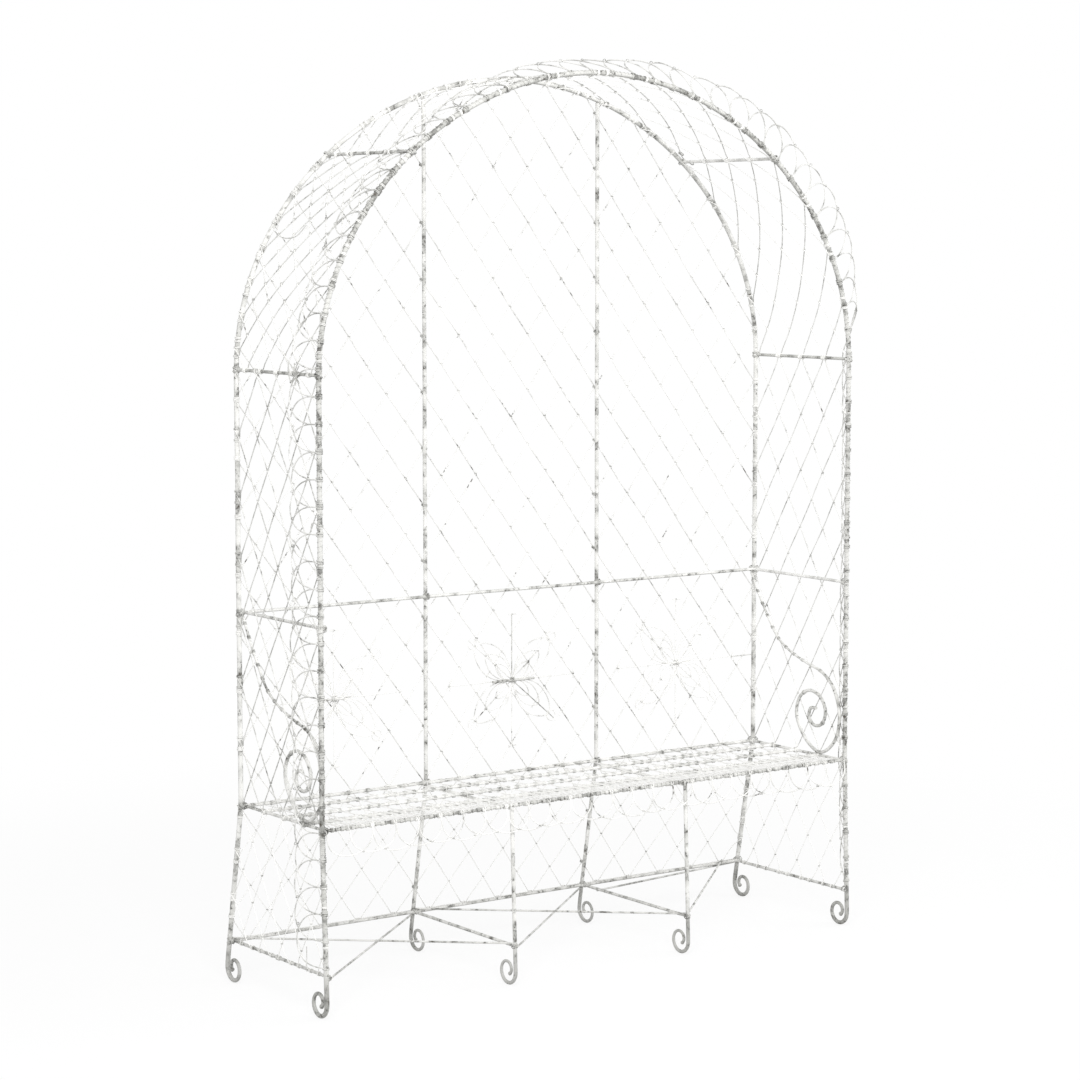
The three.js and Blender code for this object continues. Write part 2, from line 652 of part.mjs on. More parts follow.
// Seat frame
const SEAT_ROD_REACH = END_RAIL_X - BUTT;
add("seat_front_rail", rod(across(-HALF_DEPTH, SEAT_HEIGHT, HALF_WIDTH - HOOP_ROD / 2 - GAP), RAIL_ROD), ROD_PAINT);
add("seat_back_rail", rod(across(BACK_RAIL_DEPTH, SEAT_HEIGHT, HALF_WIDTH), RAIL_ROD), ROD_PAINT);
SEAT_ROD_SHARES.forEach((share, i) => {
  const line = across(share * HALF_DEPTH, SEAT_HEIGHT, SEAT_ROD_REACH);
  add("seat_rod_" + (i + 1), rod(line, RAIL_ROD), ROD_PAINT);
});
for (const [end, side] of Object.entries(ENDS)) {
  const line = along(side * END_RAIL_X, -HALF_DEPTH + BUTT, BACK_RAIL_DEPTH - BUTT, SEAT_HEIGHT);
  add("seat_end_rail_" + end, rod(line, RAIL_ROD), ROD_PAINT);
  const z = SEAT_HEIGHT - RAIL_ROD - GAP;
  const from = legDepth(-1, -HALF_DEPTH, z) + faceOf(POST_ROD) + GAP;
  const to = UPRIGHT_DEPTH - POST_ROD / 2 - GAP;
  add("seat_bearer_" + end, rod(along((side * BAY) / 2, from, to, z), RAIL_ROD), ROD_PAINT);
}
const SEAT_LINES = [-HALF_DEPTH, ...SEAT_ROD_SHARES.map((share) => share * HALF_DEPTH), BACK_RAIL_DEPTH];
SEAT_LINES.slice(1).forEach((line, i) => {
  add("seat_lacing_" + (i + 1), seatLacing(SEAT_LINES[i], line), WIRE_PAINT);
});
add("seat_apron", seatApron(), WIRE_PAINT);

// Arm rails, arms and the bars between the hoops
const ARM_RAIL_REACH = HALF_WIDTH - LATTICE_WIRE - GAP;
add("back_arm_rail", rod(across(BACK_RAIL_DEPTH, ARM_HEIGHT, ARM_RAIL_REACH), RAIL_ROD), ROD_PAINT);
for (const [end, side] of Object.entries(ENDS)) {
  const line = along(side * END_RAIL_X, -HALF_DEPTH, BACK_RAIL_DEPTH - BUTT, ARM_HEIGHT);
  add("arm_rail_" + end, rod(line, RAIL_ROD), ROD_PAINT);
  add("arm_" + end, armSolid(side), ROD_PAINT);
}
const BAR_REACH = HALF_DEPTH - faceOf(HOOP_ROD) - GAP;
for (const [end, side] of Object.entries(ENDS)) {
  const spring = along(side * HALF_WIDTH, -BAR_REACH, BAR_REACH, SPRING_HEIGHT);
  add("spring_bar_" + end, rod(spring, RAIL_ROD), ROD_PAINT);
  const steps = UPPER_BAR_SHARES[side < 0 ? 0 : 1] * ARCH_STEPS;
  const haunch = [archPlace(steps, -BAR_REACH, 0), archPlace(steps, BAR_REACH, 0)];
  add("haunch_bar_" + end, rod(haunch, RAIL_ROD), ROD_PAINT);
}

// Low stretchers
add("back_stretcher", rod(across(BACK_STRETCHER_DEPTH, STRETCHER_HEIGHT, HALF_WIDTH), RAIL_ROD), ROD_PAINT);
for (const [end, side] of Object.entries(ENDS)) {
  const back = BACK_STRETCHER_DEPTH - BUTT;
  const outer = along(side * END_RAIL_X, FRONT_LEG_DEPTH, back, STRETCHER_HEIGHT);
  add("end_stretcher_" + end, rod(outer, RAIL_ROD), ROD_PAINT);
  const front = FRONT_LEG_DEPTH + faceOf(POST_ROD) + GAP;
  const inner = along((side * BAY) / 2, front, back, STRETCHER_HEIGHT);
  add("cross_stretcher_" + end, rod(inner, RAIL_ROD), ROD_PAINT);
}

// Diagonal braces: in each bay one lies on the stretchers and one hangs under them
const BRACE_LIFT = (RAIL_ROD + BRACE_ROD) / 2 + GAP;
const OVER = STRETCHER_HEIGHT + BRACE_LIFT;
const UNDER = STRETCHER_HEIGHT - BRACE_LIFT;
const CORNER_STOP = HOOP_ROD / 2 + GAP;
const LEG_STOP = POST_ROD / 2 + 2 * GAP;
const frontLeg = (x, z) => at(x, legDepth(-1, -HALF_DEPTH, z), z);
const backLeg = (x, z) => at(x, legDepth(1, Math.abs(x) < BAY ? UPRIGHT_DEPTH : HALF_DEPTH, z), z);
const BRACES = {
  brace_left_over: [backLeg(-HALF_WIDTH, OVER), frontLeg(-BAY / 2, OVER), CORNER_STOP, LEG_STOP],
  brace_left_under: [frontLeg(-HALF_WIDTH, UNDER), backLeg(-BAY / 2, UNDER), CORNER_STOP, LEG_STOP],
  brace_middle_over: [backLeg(-BAY / 2, OVER), frontLeg(BAY / 2, OVER), LEG_STOP, LEG_STOP],
  brace_middle_under: [frontLeg(-BAY / 2, UNDER), backLeg(BAY / 2, UNDER), LEG_STOP, LEG_STOP],
  brace_right_over: [
    frontLeg(BAY / 2, OVER),
    at(HALF_WIDTH - BRACE_SHORT_OF_CORNER_BACK, BACK_STRETCHER_DEPTH, OVER),
    LEG_STOP,
    0,
  ],
  brace_right_under: [
    backLeg(BAY / 2, UNDER),
    at(END_RAIL_X, BACK_STRETCHER_DEPTH - BRACE_SHORT_OF_CORNER_END, UNDER),
    LEG_STOP,
    0,
  ],
};
for (const [name, ends] of Object.entries(BRACES)) add(name, brace(...ends), ROD_PAINT);

// Lattice panels
add("back_lattice", backLattice(), WIRE_PAINT);
add("back_skirt", backSkirt(), WIRE_PAINT);
for (const [end, side] of Object.entries(ENDS)) {
  add("end_lattice_" + end, endLattice(side), WIRE_PAINT);
  add("end_skirt_" + end, endSkirt(side), WIRE_PAINT);
}
// The left field is woven closer than the others
const close = roofLattice(0, UPPER_BAR_SHARES[0], CLOSE_DIAMOND_LENGTH, CLOSE_DIAMOND_WIDTH);
add("roof_lattice_left", close, WIRE_PAINT);
const crown = roofLattice(...UPPER_BAR_SHARES, ROOF_DIAMOND_LENGTH, END_DIAMOND_WIDTH);
add("roof_lattice_crown", crown, WIRE_PAINT);
const plain = roofLattice(UPPER_BAR_SHARES[1], 1, ROOF_DIAMOND_LENGTH, END_DIAMOND_WIDTH);
add("roof_lattice_right", plain, WIRE_PAINT);

// Edging round the front hoop, and one rosette in the middle of each bay of the back
add("front_edging", frontEdging(), WIRE_PAINT);
for (const [name, side] of Object.entries({ left: -1, middle: 0, right: 1 })) {
  add("rosette_" + name, rosette(side * BAY), WIRE_PAINT);
}

// The origin is on the floor under the middle of the whole
const middle = new THREE.Box3().setFromObject(seat).getCenter(at(0, 0, 0));
seat.position.set(-middle.x, -middle.y, 0);

export default seat;
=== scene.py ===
import bisect
import math
import random

import bmesh
import bpy
from bpy.props import FloatProperty, FloatVectorProperty, PointerProperty
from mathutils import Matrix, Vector, noise


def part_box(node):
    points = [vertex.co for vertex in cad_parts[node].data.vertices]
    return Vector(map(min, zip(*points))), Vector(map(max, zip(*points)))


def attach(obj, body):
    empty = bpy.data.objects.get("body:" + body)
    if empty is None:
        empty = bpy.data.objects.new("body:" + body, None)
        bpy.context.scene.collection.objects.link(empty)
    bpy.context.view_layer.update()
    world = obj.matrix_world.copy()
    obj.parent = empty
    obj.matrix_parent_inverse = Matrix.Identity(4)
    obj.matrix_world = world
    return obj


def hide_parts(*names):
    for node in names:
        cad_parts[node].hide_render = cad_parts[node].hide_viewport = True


bl_info = {
    "name": "Arbour seat",
    "version": (1, 0, 0),
    "blender": (4, 5, 0),
    "location": "3D Viewport > Sidebar > Arbour seat",
    "description": "Dresses a wirework arbour seat: round rods, bound wires and worn paint",
    "category": "Object",
}

# The wander of the rods and wires would differ from run to run without a seed
SEED = 7
noise.seed_set(SEED)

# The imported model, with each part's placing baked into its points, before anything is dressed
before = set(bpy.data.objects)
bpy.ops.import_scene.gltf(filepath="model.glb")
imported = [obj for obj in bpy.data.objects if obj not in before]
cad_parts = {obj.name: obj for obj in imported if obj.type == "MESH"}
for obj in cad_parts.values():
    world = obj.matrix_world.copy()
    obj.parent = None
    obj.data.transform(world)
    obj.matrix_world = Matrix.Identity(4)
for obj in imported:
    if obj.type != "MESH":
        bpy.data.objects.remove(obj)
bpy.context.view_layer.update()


def middle_of(node):
    low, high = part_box(node)
    return (low + high) / 2


def at(x, y, z):
    return Vector((x, y, z))


def flat(u, v):
    return Vector((u, v))


# Places that the parts of model.glb give, in metres. Everything below is worked out in the seat's own axes,
# from the point on the floor under the middle of the two hoops: x to the right, y to the back and z up.
SPRING_LEFT = middle_of("spring_bar_left")
SPRING_RIGHT = middle_of("spring_bar_right")
ORIGIN = at((SPRING_LEFT.x + SPRING_RIGHT.x) / 2, (SPRING_LEFT.y + SPRING_RIGHT.y) / 2, 0)
HALF_WIDTH = (SPRING_RIGHT.x - SPRING_LEFT.x) / 2
HALF_DEPTH = ORIGIN.y - middle_of("seat_front_rail").y
SEAT_Z = middle_of("seat_front_rail").z
ARM_Z = middle_of("back_arm_rail").z
SPRING_Z = SPRING_LEFT.z
STRETCHER_Z = middle_of("back_stretcher").z
ROSETTE_Z = middle_of("rosette_middle").z
BAY = middle_of("rosette_right").x - middle_of("rosette_middle").x
END_RAIL_X = middle_of("seat_end_rail_right").x - ORIGIN.x
SEAT_LINES = [
    middle_of(node).y - ORIGIN.y
    for node in ("seat_front_rail", "seat_rod_1", "seat_rod_2", "seat_rod_3", "seat_back_rail")
]

SIDES = {"left": -1, "right": 1}
RIGHT = at(1, 0, 0)
BACK = at(0, 1, 0)
UP = at(0, 0, 1)

# The back legs (1) and the front legs (-1) splay below the seat, and end in scroll feet
LEG_SPLAYS = {1: 0.0637, -1: 0.0137}
SCROLL_RADIUS = 0.033
SCROLL_TURN = math.radians(415)
SCROLL_STEPS = 56
SCROLL_END_SHARE = 0.3
SCROLL_TIGHTENING = 1.7
SCROLL_SLIMMING = 0.24
KNOB_SHARE = 0.06
ROD_STEP = 0.015
RAIL_STEP = 3 * ROD_STEP
# A box this many times as long as it is high, along an axis, shows that its rod runs that way
RUN_PROPORTION = 3

# How far rods wander from their lines, and over what length
ROD_BEND = 0.0007
RAIL_BEND = 0.0006
BORDER_BEND = 0.0015
BEND_LENGTH = 0.22
# How many times the bends of a hoop or post are eased
EASINGS = 4

# The arch is a superellipse from spring to spring. Its top is measured on the rods' upper sides, where the
# hoop's rod stands higher than the bar's.
HOOP_OVER_BAR = 0.002
ARCH_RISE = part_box("front_hoop")[1].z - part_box("spring_bar_left")[1].z - HOOP_OVER_BAR
ARCH_EXPONENT = 1.95
ARCH_STEPS = 400
ARCH_CORNERS = 96
UPPER_BAR_SHARES = (0.25, 0.75)

# Arm rod: places from the back post to the eye of the volute, as shares of half the depth, towards the
# back, and of the height from the seat rail to the arm rail
ARM_SHARES = [
    (1.0, 0.98), (0.826, 0.86), (0.617, 0.735), (0.397, 0.622), (0.11, 0.552), (-0.253, 0.501),
    (-0.579, 0.462), (-0.826, 0.378), (-0.948, 0.228), (-0.854, 0.084), (-0.556, 0), (-0.248, 0.055),
    (-0.033, 0.19), (-0.099, 0.298), (-0.303, 0.346), (-0.534, 0.321), (-0.65, 0.242), (-0.579, 0.166),
    (-0.413, 0.15), (-0.303, 0.19), (-0.331, 0.243), (-0.452, 0.25),
]
ARM_STEPS = 8
# Where the slim sweep of an arm thickens to its volute, as shares of its length
ARM_SWELL_START = 0.28
ARM_SWELL_SPAN = 0.12
# Beads of wire along an arm, by distance: where the first is, how far apart they are and how many there are
# on the sweep, the places of those on the volute, and the turns of both
BEAD_START = 0.02
BEAD_PITCH = 0.0375
SWEEP_BEADS = 13
SWEEP_BEAD_TURNS = 4
VOLUTE_BEADS = (0.9, 1.05)
VOLUTE_BEAD_TURNS = 3

# Lattice: the diamonds of each panel, how its wires are sampled, tied and cut off, and how they wander
DIAMOND_HEIGHT = 0.142
BACK_COLUMNS = 15
END_DIAMOND_HEIGHT = 0.150
END_COLUMNS = 4
END_ROWS = 7
# Each field of the roof: its diamonds along the arch and across it, the part of a diamond that it starts
# with, and the lean of its wires that take the darker paint, as painted shade
ROOF_DIAMONDS = {"left": (7, 5, 0.5, -1), "crown": (8, 4, 0, 1), "right": (4, 4, 0, 1)}
# The paints of a lattice's wires in one lean and of the others, here and for each panel below. Where the two
# differ, the first is darker: painted shade, standing in for the way the light falls on wires of that lean.
LATTICE_PAINTS = ("wire_paint", "faint_wire_paint")
# On the skirts below the seat both leans take the palest paint: painted light, paler to offset the shade that
# falls under the seat
SKIRT_PAINTS = ("pale_wire_paint", "pale_wire_paint")
END_PAINTS = {"left": ("dark_wire_paint", "edging_paint"), "right": ("edging_paint", "wire_paint")}
ROOF_PAINTS = {
    "left": ("edging_paint", "wire_paint"),
    "crown": ("edging_paint", "pale_wire_paint"),
    "right": ("edging_paint", "pale_wire_paint"),
}
PANEL_INSET = 0.0068
CORNER = 0.03
LATTICE_STEP = 0.024
TIE_MARGIN = 0.012
TIE_FLATNESS = 0.95
SHORTEST_WIRE_SHARE = 0.25
UPRIGHT_REACH_SHARE = 0.125
WANDER = 0.0034
WANDER_LENGTH = 0.17
FADE = 0.07

# Edging and apron of overlapping hairpin loops, and the paints of their loops, of the turns of their feet and
# of their ties. The apron's clearance of the inner legs is in gauges of its wire. The edging leans by so many
# degrees at these shares of the way along the arch.
LOOP_PITCH = 0.064
LOOP_STEPS = 24
LOOP_FULLNESS = 0.7
EDGING_DEPTH = 0.101
EDGING_START = 0.025
LOOP_UNEVENNESS = 0.12
LOOP_MEAN_SHARE = 0.96
STAND_OFF_SPAN = 4
APRON_DEPTH = 0.068
APRON_CLEARANCE = 1.4
EDGING_PAINTS = ("edging_paint", "front_hoop_paint", "binding_paint")
APRON_PAINTS = ("wire_paint", "wire_paint", "dark_wire_paint")
LEAN_PLACE_SHARES = (0, 0.08, 0.25, 0.5, 0.62, 0.72, 0.86, 0.94, 1)
LEAN_DEGREES = (80, 92, 90, 72, 47, 22, 12, 32, 62)

# Thin wire wound round the front hoop between the feet of the edging's loops
WHIPPING_PITCH = 0.012
WHIPPING_GAP = 0.008

# Wire laced to and fro over the seat, with whole turns round each rod, up to a margin in gauges of the wire.
# The front row is laced four times: from the front rail or the next rod, and from a whole or half pitch.
LACING_PITCH = 0.0275
LACING_TURNS = 3
LACING_MARGIN = 4
FRONT_LACINGS = ((0, 0), (1, 0), (0, 0.5), (1, 0.5))

# Coils: the steps of one turn, the pitches in gauges of the wire, and the turns
COIL_STEPS = 8
TIE_STEPS = 7
TIE_PITCH = 1.15
GRIP_PITCH = 1.12
WOUND_PITCH = 1.1
TIE_TURNS = 2
BAND_TURNS = 3
GRIP_TURNS = 1.75
FOOT_TURNS = 1.6
LASHING_TURNS = 2.25

# How many sides the rods and wires have round them, and what counts as a sharp edge
ROD_SIDES = 12
WIRE_SIDES = 6
TIE_SIDES = 4
CORE_SIDES = 8
SHARP_ANGLE = math.radians(75)


class Line:
    """A line of short straight steps, walked by distance."""

    def __init__(self, points):
        self.points = points
        self.lengths = [0]
        for start, end in zip(points, points[1:]):
            self.lengths.append(self.lengths[-1] + (end - start).length)
        self.total = self.lengths[-1]

    def at(self, distance):
        """The point at a distance along the line, and the line's direction there."""
        i = bisect.bisect_right(self.lengths, distance) - 1
        i = min(max(i, 0), len(self.points) - 2)
        run = (self.points[i + 1] - self.points[i]).normalized()
        return self.points[i] + run * (distance - self.lengths[i]), run


def arch_point(angle):
    across, up = math.cos(angle), math.sin(angle)
    power = 2 / ARCH_EXPONENT
    x = HALF_WIDTH * math.copysign(abs(across) ** power, across)
    return at(x, 0, SPRING_Z + ARCH_RISE * abs(up) ** power)


ARCH = Line([arch_point(math.pi * (1 - i / ARCH_STEPS)) for i in range(ARCH_STEPS + 1)])


def outward_of(run):
    """The direction away from the middle of the arch, square to the line's direction."""
    return at(-run.z, 0, run.x).normalized()


def leg_depth(side, top, z):
    return top + side * LEG_SPLAYS[side] * (SEAT_Z - z) / (SEAT_Z - STRETCHER_Z)


def leg_direction(side):
    return at(0, side * LEG_SPLAYS[side], STRETCHER_Z - SEAT_Z).normalized()


def resampled(points, step):
    line = Line(points)
    count = max(round(line.total / step), 1)
    return [line.at(line.total * i / count)[0] for i in range(count + 1)]


def softened(points, times):
    """The same line with its bends eased."""
    for _ in range(times):
        inner = [(a + 2 * b + c) / 4 for a, b, c in zip(points, points[1:], points[2:])]
        points = [points[0], *inner, points[-1]]
    return points


def hand_bent(points, amount=ROD_BEND):
    """A line with the slight wander of a rod that was straightened by hand. The feet stay in place."""
    return [p + noise.noise_vector(p / BEND_LENGTH) * amount * min(1, p.z / SEAT_Z) ** 2 for p in points]


def scroll_taper(share):
    """A scroll foot's thickness as a share of its rod's: drawn out thinner, with a small knob at the tip."""
    knob = max(0, 1 - (1 - share) / KNOB_SHARE)
    return 1 - SCROLL_SLIMMING * min(1, 2 * share) + SCROLL_SLIMMING * math.sin(math.pi * knob)


def leg(x, side, top, radius):
    """A leg's centre line, from the seat to the tip of its scroll foot, with the thickness at each point."""
    tilt = math.atan(LEG_SPLAYS[side] / (SEAT_Z - STRETCHER_Z))
    spots, shares = [], []
    for i in range(SCROLL_STEPS + 1):
        share = i / SCROLL_STEPS
        angle = share * SCROLL_TURN - tilt
        reach = SCROLL_RADIUS * (1 - (1 - SCROLL_END_SHARE) * share**SCROLL_TIGHTENING)
        spots.append((reach * math.cos(angle), -reach * math.sin(angle)))
        shares.append(scroll_taper(share))
    height = max(radius * thick - v for (_, v), thick in zip(spots, shares))
    depth = leg_depth(side, top, height + spots[0][1]) - side * spots[0][0]
    curl = [at(x, depth + side * u, height + v) for u, v in spots]
    shaft = resampled([at(x, top, SEAT_Z), curl[0]], ROD_STEP)[:-1]
    return shaft + curl, [1] * len(shaft) + shares


def stretch_inside(outline, point, step):
    """Where a line enters and leaves a convex outline given anticlockwise: two (steps, edge) pairs."""
    low, high = (-math.inf, None), (math.inf, None)
    for i, corner in enumerate(outline):
        edge = outline[(i + 1) % len(outline)] - corner
        depth = edge.cross(point - corner)
        rate = edge.cross(step)
        if abs(rate) < 1e-9:
            continue
        if rate > 0:
            low = max(low, (-depth / rate, i), key=lambda pair: pair[0])
        else:
            high = min(high, (-depth / rate, i), key=lambda pair: pair[0])
    return (low, high) if high[0] > low[0] else None


def depth_inside(outline, point):
    """How far a point lies inside a convex outline, measured square to its nearest edge."""
    depths = []
    for i, corner in enumerate(outline):
        edge = (outline[(i + 1) % len(outline)] - corner).normalized()
        depths.append(edge.cross(point - corner))
    return min(depths)


class Wire:
    """One strand: the points that it follows, and its radius at each of them, as a share of the full one."""

    def __init__(self, points, gauge, shares=None):
        self.points = points
        self.radii = [gauge / 2 * share for share in shares or [1] * len(points)]


def coil(spot, axis, first, radii, turns, pitch, steps=COIL_STEPS):
    """Points of a coil round an axis, from the direction first. Negative turns wind the other way."""
    second = axis.cross(first)
    count = max(round(abs(turns) * steps), 1)
    points = []
    for i in range(count + 1):
        share = i / count
        angle = 2 * math.pi * turns * share
        arm = first * (radii[0] * math.cos(angle)) + second * (radii[1] * math.sin(angle))
        points.append(spot + arm + axis * (pitch * abs(turns) * share))
    return points


def tie(spot, axis, first, radii, turns, gauge, steps=TIE_STEPS):
    """A short close coil centred on a spot."""
    pitch = gauge * TIE_PITCH
    start = spot - axis * (pitch * turns / 2)
    return Wire(coil(start, axis, first, radii, turns, pitch, steps), gauge)


def lashing(spot, along, normal, radii, gauge):
    """Two short coils, crossed, that bind two rods where they cross or lie together."""
    across = normal.cross(along)
    wires = []
    for lean in (1, -1):
        heading = (along + across * lean).normalized()
        wires.append(tie(spot, normal.cross(heading), heading, radii, LASHING_TURNS, gauge, COIL_STEPS))
    return wires


def wrapped(line, distances, radius, turns, gauge):
    """Short close coils round a rod, at distances along it."""
    wires = []
    for distance in distances:
        spot, run = line.at(distance)
        first = run.orthogonal().normalized()
        reach = radius + gauge / 2
        wires.append(tie(spot, run, first, (reach, reach), turns, gauge, COIL_STEPS))
    return wires


def dressed(name, wires, material, sides=WIRE_SIDES, replaces=()):
    """One piece made of round wires, in place of the nodes that it stands for."""
    curve = bpy.data.curves.new(name, "CURVE")
    curve.dimensions = "3D"
    curve.bevel_depth = 1
    curve.bevel_resolution = (sides - 4) // 2
    curve.use_fill_caps = True
    for wire in wires:
        spline = curve.splines.new("POLY")
        spline.points.add(len(wire.points) - 1)
        for spot, point, radius in zip(spline.points, wire.points, wire.radii):
            spot.co = (*(point + ORIGIN), 1)
            spot.radius = radius
    holder = bpy.data.objects.new(name, curve)
    bpy.context.scene.collection.objects.link(holder)
    graph = bpy.context.evaluated_depsgraph_get()
    mesh = bpy.data.meshes.new_from_object(holder.evaluated_get(graph))
    bpy.data.objects.remove(holder)
    bpy.data.curves.remove(curve)
    mesh.shade_smooth()
    mesh.set_sharp_from_angle(angle=SHARP_ANGLE)
    mesh.materials.clear()
    mesh.materials.append(bpy.data.materials[material])
    piece = bpy.data.objects.new(name, mesh)
    bpy.context.scene.collection.objects.link(piece)
    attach(piece, "root")
    if replaces:
        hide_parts(*replaces)
    return piece


def rod_piece(name, points, gauge, shares=None, paint="rod_paint"):
    return dressed(name, [Wire(points, gauge, shares)], paint, ROD_SIDES, [name])


class Socket:
    """A node's output. Arithmetic on it adds Math nodes."""

    def __init__(self, tree, output):
        self.tree = tree
        self.output = output

    def maths(self, operation, first, second):
        return self.tree.node("Math", {"operation": operation}, {0: first, 1: second})

    def __add__(self, other):
        return self.maths("ADD", self, other)

    def __radd__(self, other):
        return self.maths("ADD", other, self)

    def __sub__(self, other):
        return self.maths("SUBTRACT", self, other)

    def __rsub__(self, other):
        return self.maths("SUBTRACT", other, self)

    def __mul__(self, other):
        return self.maths("MULTIPLY", self, other)

    def __rmul__(self, other):
        return self.maths("MULTIPLY", other, self)


class Tree:
    """A node tree that is written as expressions."""

    def __init__(self, tree):
        self.tree = tree
        tree.nodes.clear()

    def node(self, kind, settings=None, inputs=None, output=0):
        """Adds a node: its settings first, then the values or links of its sockets."""
        node = self.tree.nodes.new("ShaderNode" + kind)
        for key, value in (settings or {}).items():
            setattr(node, key, value)
        for key, value in (inputs or {}).items():
            if isinstance(value, Socket):
                self.tree.links.new(value.output, node.inputs[key])
            else:
                node.inputs[key].default_value = value
        return Socket(self, node.outputs[output]) if node.outputs else None

    def mix(self, factor, first, second):
        """One colour laid over another."""
        colours = {0: factor, 6: first, 7: second}
        return self.node("Mix", {"data_type": "RGBA"}, colours, output=2)

    def mask(self, value, low, high):
        """0 below one value and 1 above another, with a smooth step between."""
        settings = {"interpolation_type": "SMOOTHSTEP"}
        return self.node("MapRange", settings, {"Value": value, "From Min": low, "From Max": high})

    def noise(self, place, size, detail, roughness=0.55):
        """Noise whose features are about the given size, in metres."""
        inputs = {"Vector": place, "Scale": 1 / size, "Detail": detail, "Roughness": roughness}
        return self.node("TexNoise", {}, inputs)


def new_material(name):
    material = bpy.data.materials.new(name)
    material.use_nodes = True
    return Tree(material.node_tree)


# The features of the paint, in metres: the sizes of its noises, the heights below which the feet are dirty
# and dirtiest, and its depth
PATCH_SIZE = 0.05
BLOT_SIZE = 0.021
FLECK_SIZE = 0.0075
GRAIN_SIZE = 0.0016
DIRTY_BELOW = 0.125
DIRTIEST_BELOW = 0.06
PAINT_DEPTH = 0.0006


def worn_paint(name, colours, tone, chips, grime_and_painted_shade, patchiness):
    """Old garden paint: uneven brushed coats, grime, painted shade on the undersides, and chips down to grey
    undercoat and rust.

    tone, chips and grime run from 0, clean, to 1, and so does patchiness, even to broken up. Grime also sets
    the painted shade on surfaces that face down.
    """
    tree = new_material(name)
    place = tree.node("TexCoord", output="Object")
    patches = tree.noise(place, PATCH_SIZE, 3)
    blots = tree.noise(place, BLOT_SIZE, 5, 0.6)
    flecks = tree.noise(place, FLECK_SIZE, 6, 0.65)
    grain = tree.noise(place, GRAIN_SIZE, 3)
    up = tree.node("SeparateXYZ", {}, {0: tree.node("NewGeometry", output="Normal")}, output="Z")

    coat = tree.mix(tone, colours.paint, colours.shade)
    coat = tree.mix(tree.mask(patches, 0.38, 0.62) * grime_and_painted_shade, coat, colours.shade)
    coat = tree.mix(tree.mask(blots + patches * 0.5, 0.7, 0.92) * grime_and_painted_shade, coat, colours.grime_and_painted_shade)
    # Painted shade: surfaces that face down are darkened towards the grime colour, as shade falls under the
    # rods and wires; this is not dirt
    coat = tree.mix(tree.mask(0 - up, 0.1, 1) * (0.8 * grime_and_painted_shade), coat, colours.grime_and_painted_shade)
    height = tree.node("SeparateXYZ", {}, {0: place}, output="Z")
    coat = tree.mix(tree.mask(0 - height, -DIRTY_BELOW, -DIRTIEST_BELOW) * 0.6, coat, colours.grime_and_painted_shade)
    wear = flecks * 0.62 + blots * 0.38 + (patches - 0.5) * patchiness
    chips = 0.16 * chips
    # The chips: where the paint is worn through to undercoat and rust
    bare_and_shaded = tree.mask(wear, 0.665 - chips, 0.695 - chips)
    rusty = tree.mask(wear, 0.71 - chips, 0.76 - chips)
    metal = tree.mix(rusty, colours.undercoat, colours.rust)
    colour = tree.mix(bare_and_shaded, coat, metal)
    roughness = 0.5 + bare_and_shaded * 0.2 + grain * 0.16
    relief = grain * 0.12 + flecks * 0.1 + (1 - bare_and_shaded) * 0.6
    bump = tree.node("Bump", {}, {"Strength": 0.5, "Distance": PAINT_DEPTH, "Height": relief})
    surface = {"Base Color": colour, "Roughness": roughness, "Normal": bump}
    shader = tree.node("BsdfPrincipled", {}, surface)
    tree.node("OutputMaterial", {}, {"Surface": shader})


# Each paint's tone, chips, grime with the painted shade on its undersides, and patchiness
PAINTS = {
    "front_hoop_paint": (0.65, 0.8, 0.9, 0.22),
    "rod_paint": (0.36, 0.65, 0.7, 0.22),
    "bar_paint": (0.8, 0.75, 0.9, 0.22),
    "pale_rod_paint": (0.15, 0.35, 0.4, 0.22),
    "arm_paint": (0.32, 0.6, 0.6, 0.22),
    "edging_paint": (0.3, 0.45, 0.55, 0.22),
    "dark_wire_paint": (0.45, 0.5, 0.65, 0.22),
    "wire_paint": (0.02, 0.12, 0.3, 0.8),
    "faint_wire_paint": (0, 0, 0.15, 0.8),
    "pale_wire_paint": (0, 0.05, 0.1, 0.3),
    "binding_paint": (0.7, 0.7, 0.9, 0.22),
}


def length(name, description, default):
    """A gauge, in metres."""
    return FloatProperty(
        name=name, description=description, default=default, min=0, unit="LENGTH", precision=4
    )


def colour(name, description, default):
    """A paint's colour and alpha."""
    return FloatVectorProperty(
        name=name, description=description, default=default, size=4, min=0, max=1, subtype="COLOR"
    )


class SeatSizes(bpy.types.PropertyGroup):
    """Gauges of the rods and wires."""

    hoop: length("Hoop rod", "Diameter of the two hoops", 0.012)
    post: length("Post rod", "Diameter of the uprights and inner legs", 0.010)
    arm: length("Arm rod", "Diameter of the volute of an arm", 0.009)
    swoop: length("Arm sweep", "Diameter of an arm where it sweeps down from the back", 0.0062)
    rail: length("Rail rod", "Diameter of rails, bars and stretchers", 0.008)
    brace: length("Brace rod", "Diameter of the diagonal braces", 0.005)
    lattice: length("Lattice wire", "Diameter of the lattice wires", 0.0027)
    skirt: length("Skirt wire", "Diameter of the lattice wires below the seat", 0.0021)
    lacing: length("Lacing wire", "Diameter of the wire laced over the seat", 0.002)
    loop: length("Loop wire", "Diameter of the edging and apron wires", 0.003)
    binding: length("Binding wire", "Diameter of the wire that binds rods", 0.0018)
    tie: length("Tie wire", "Diameter of the wire that ties lattice crossings", 0.0011)


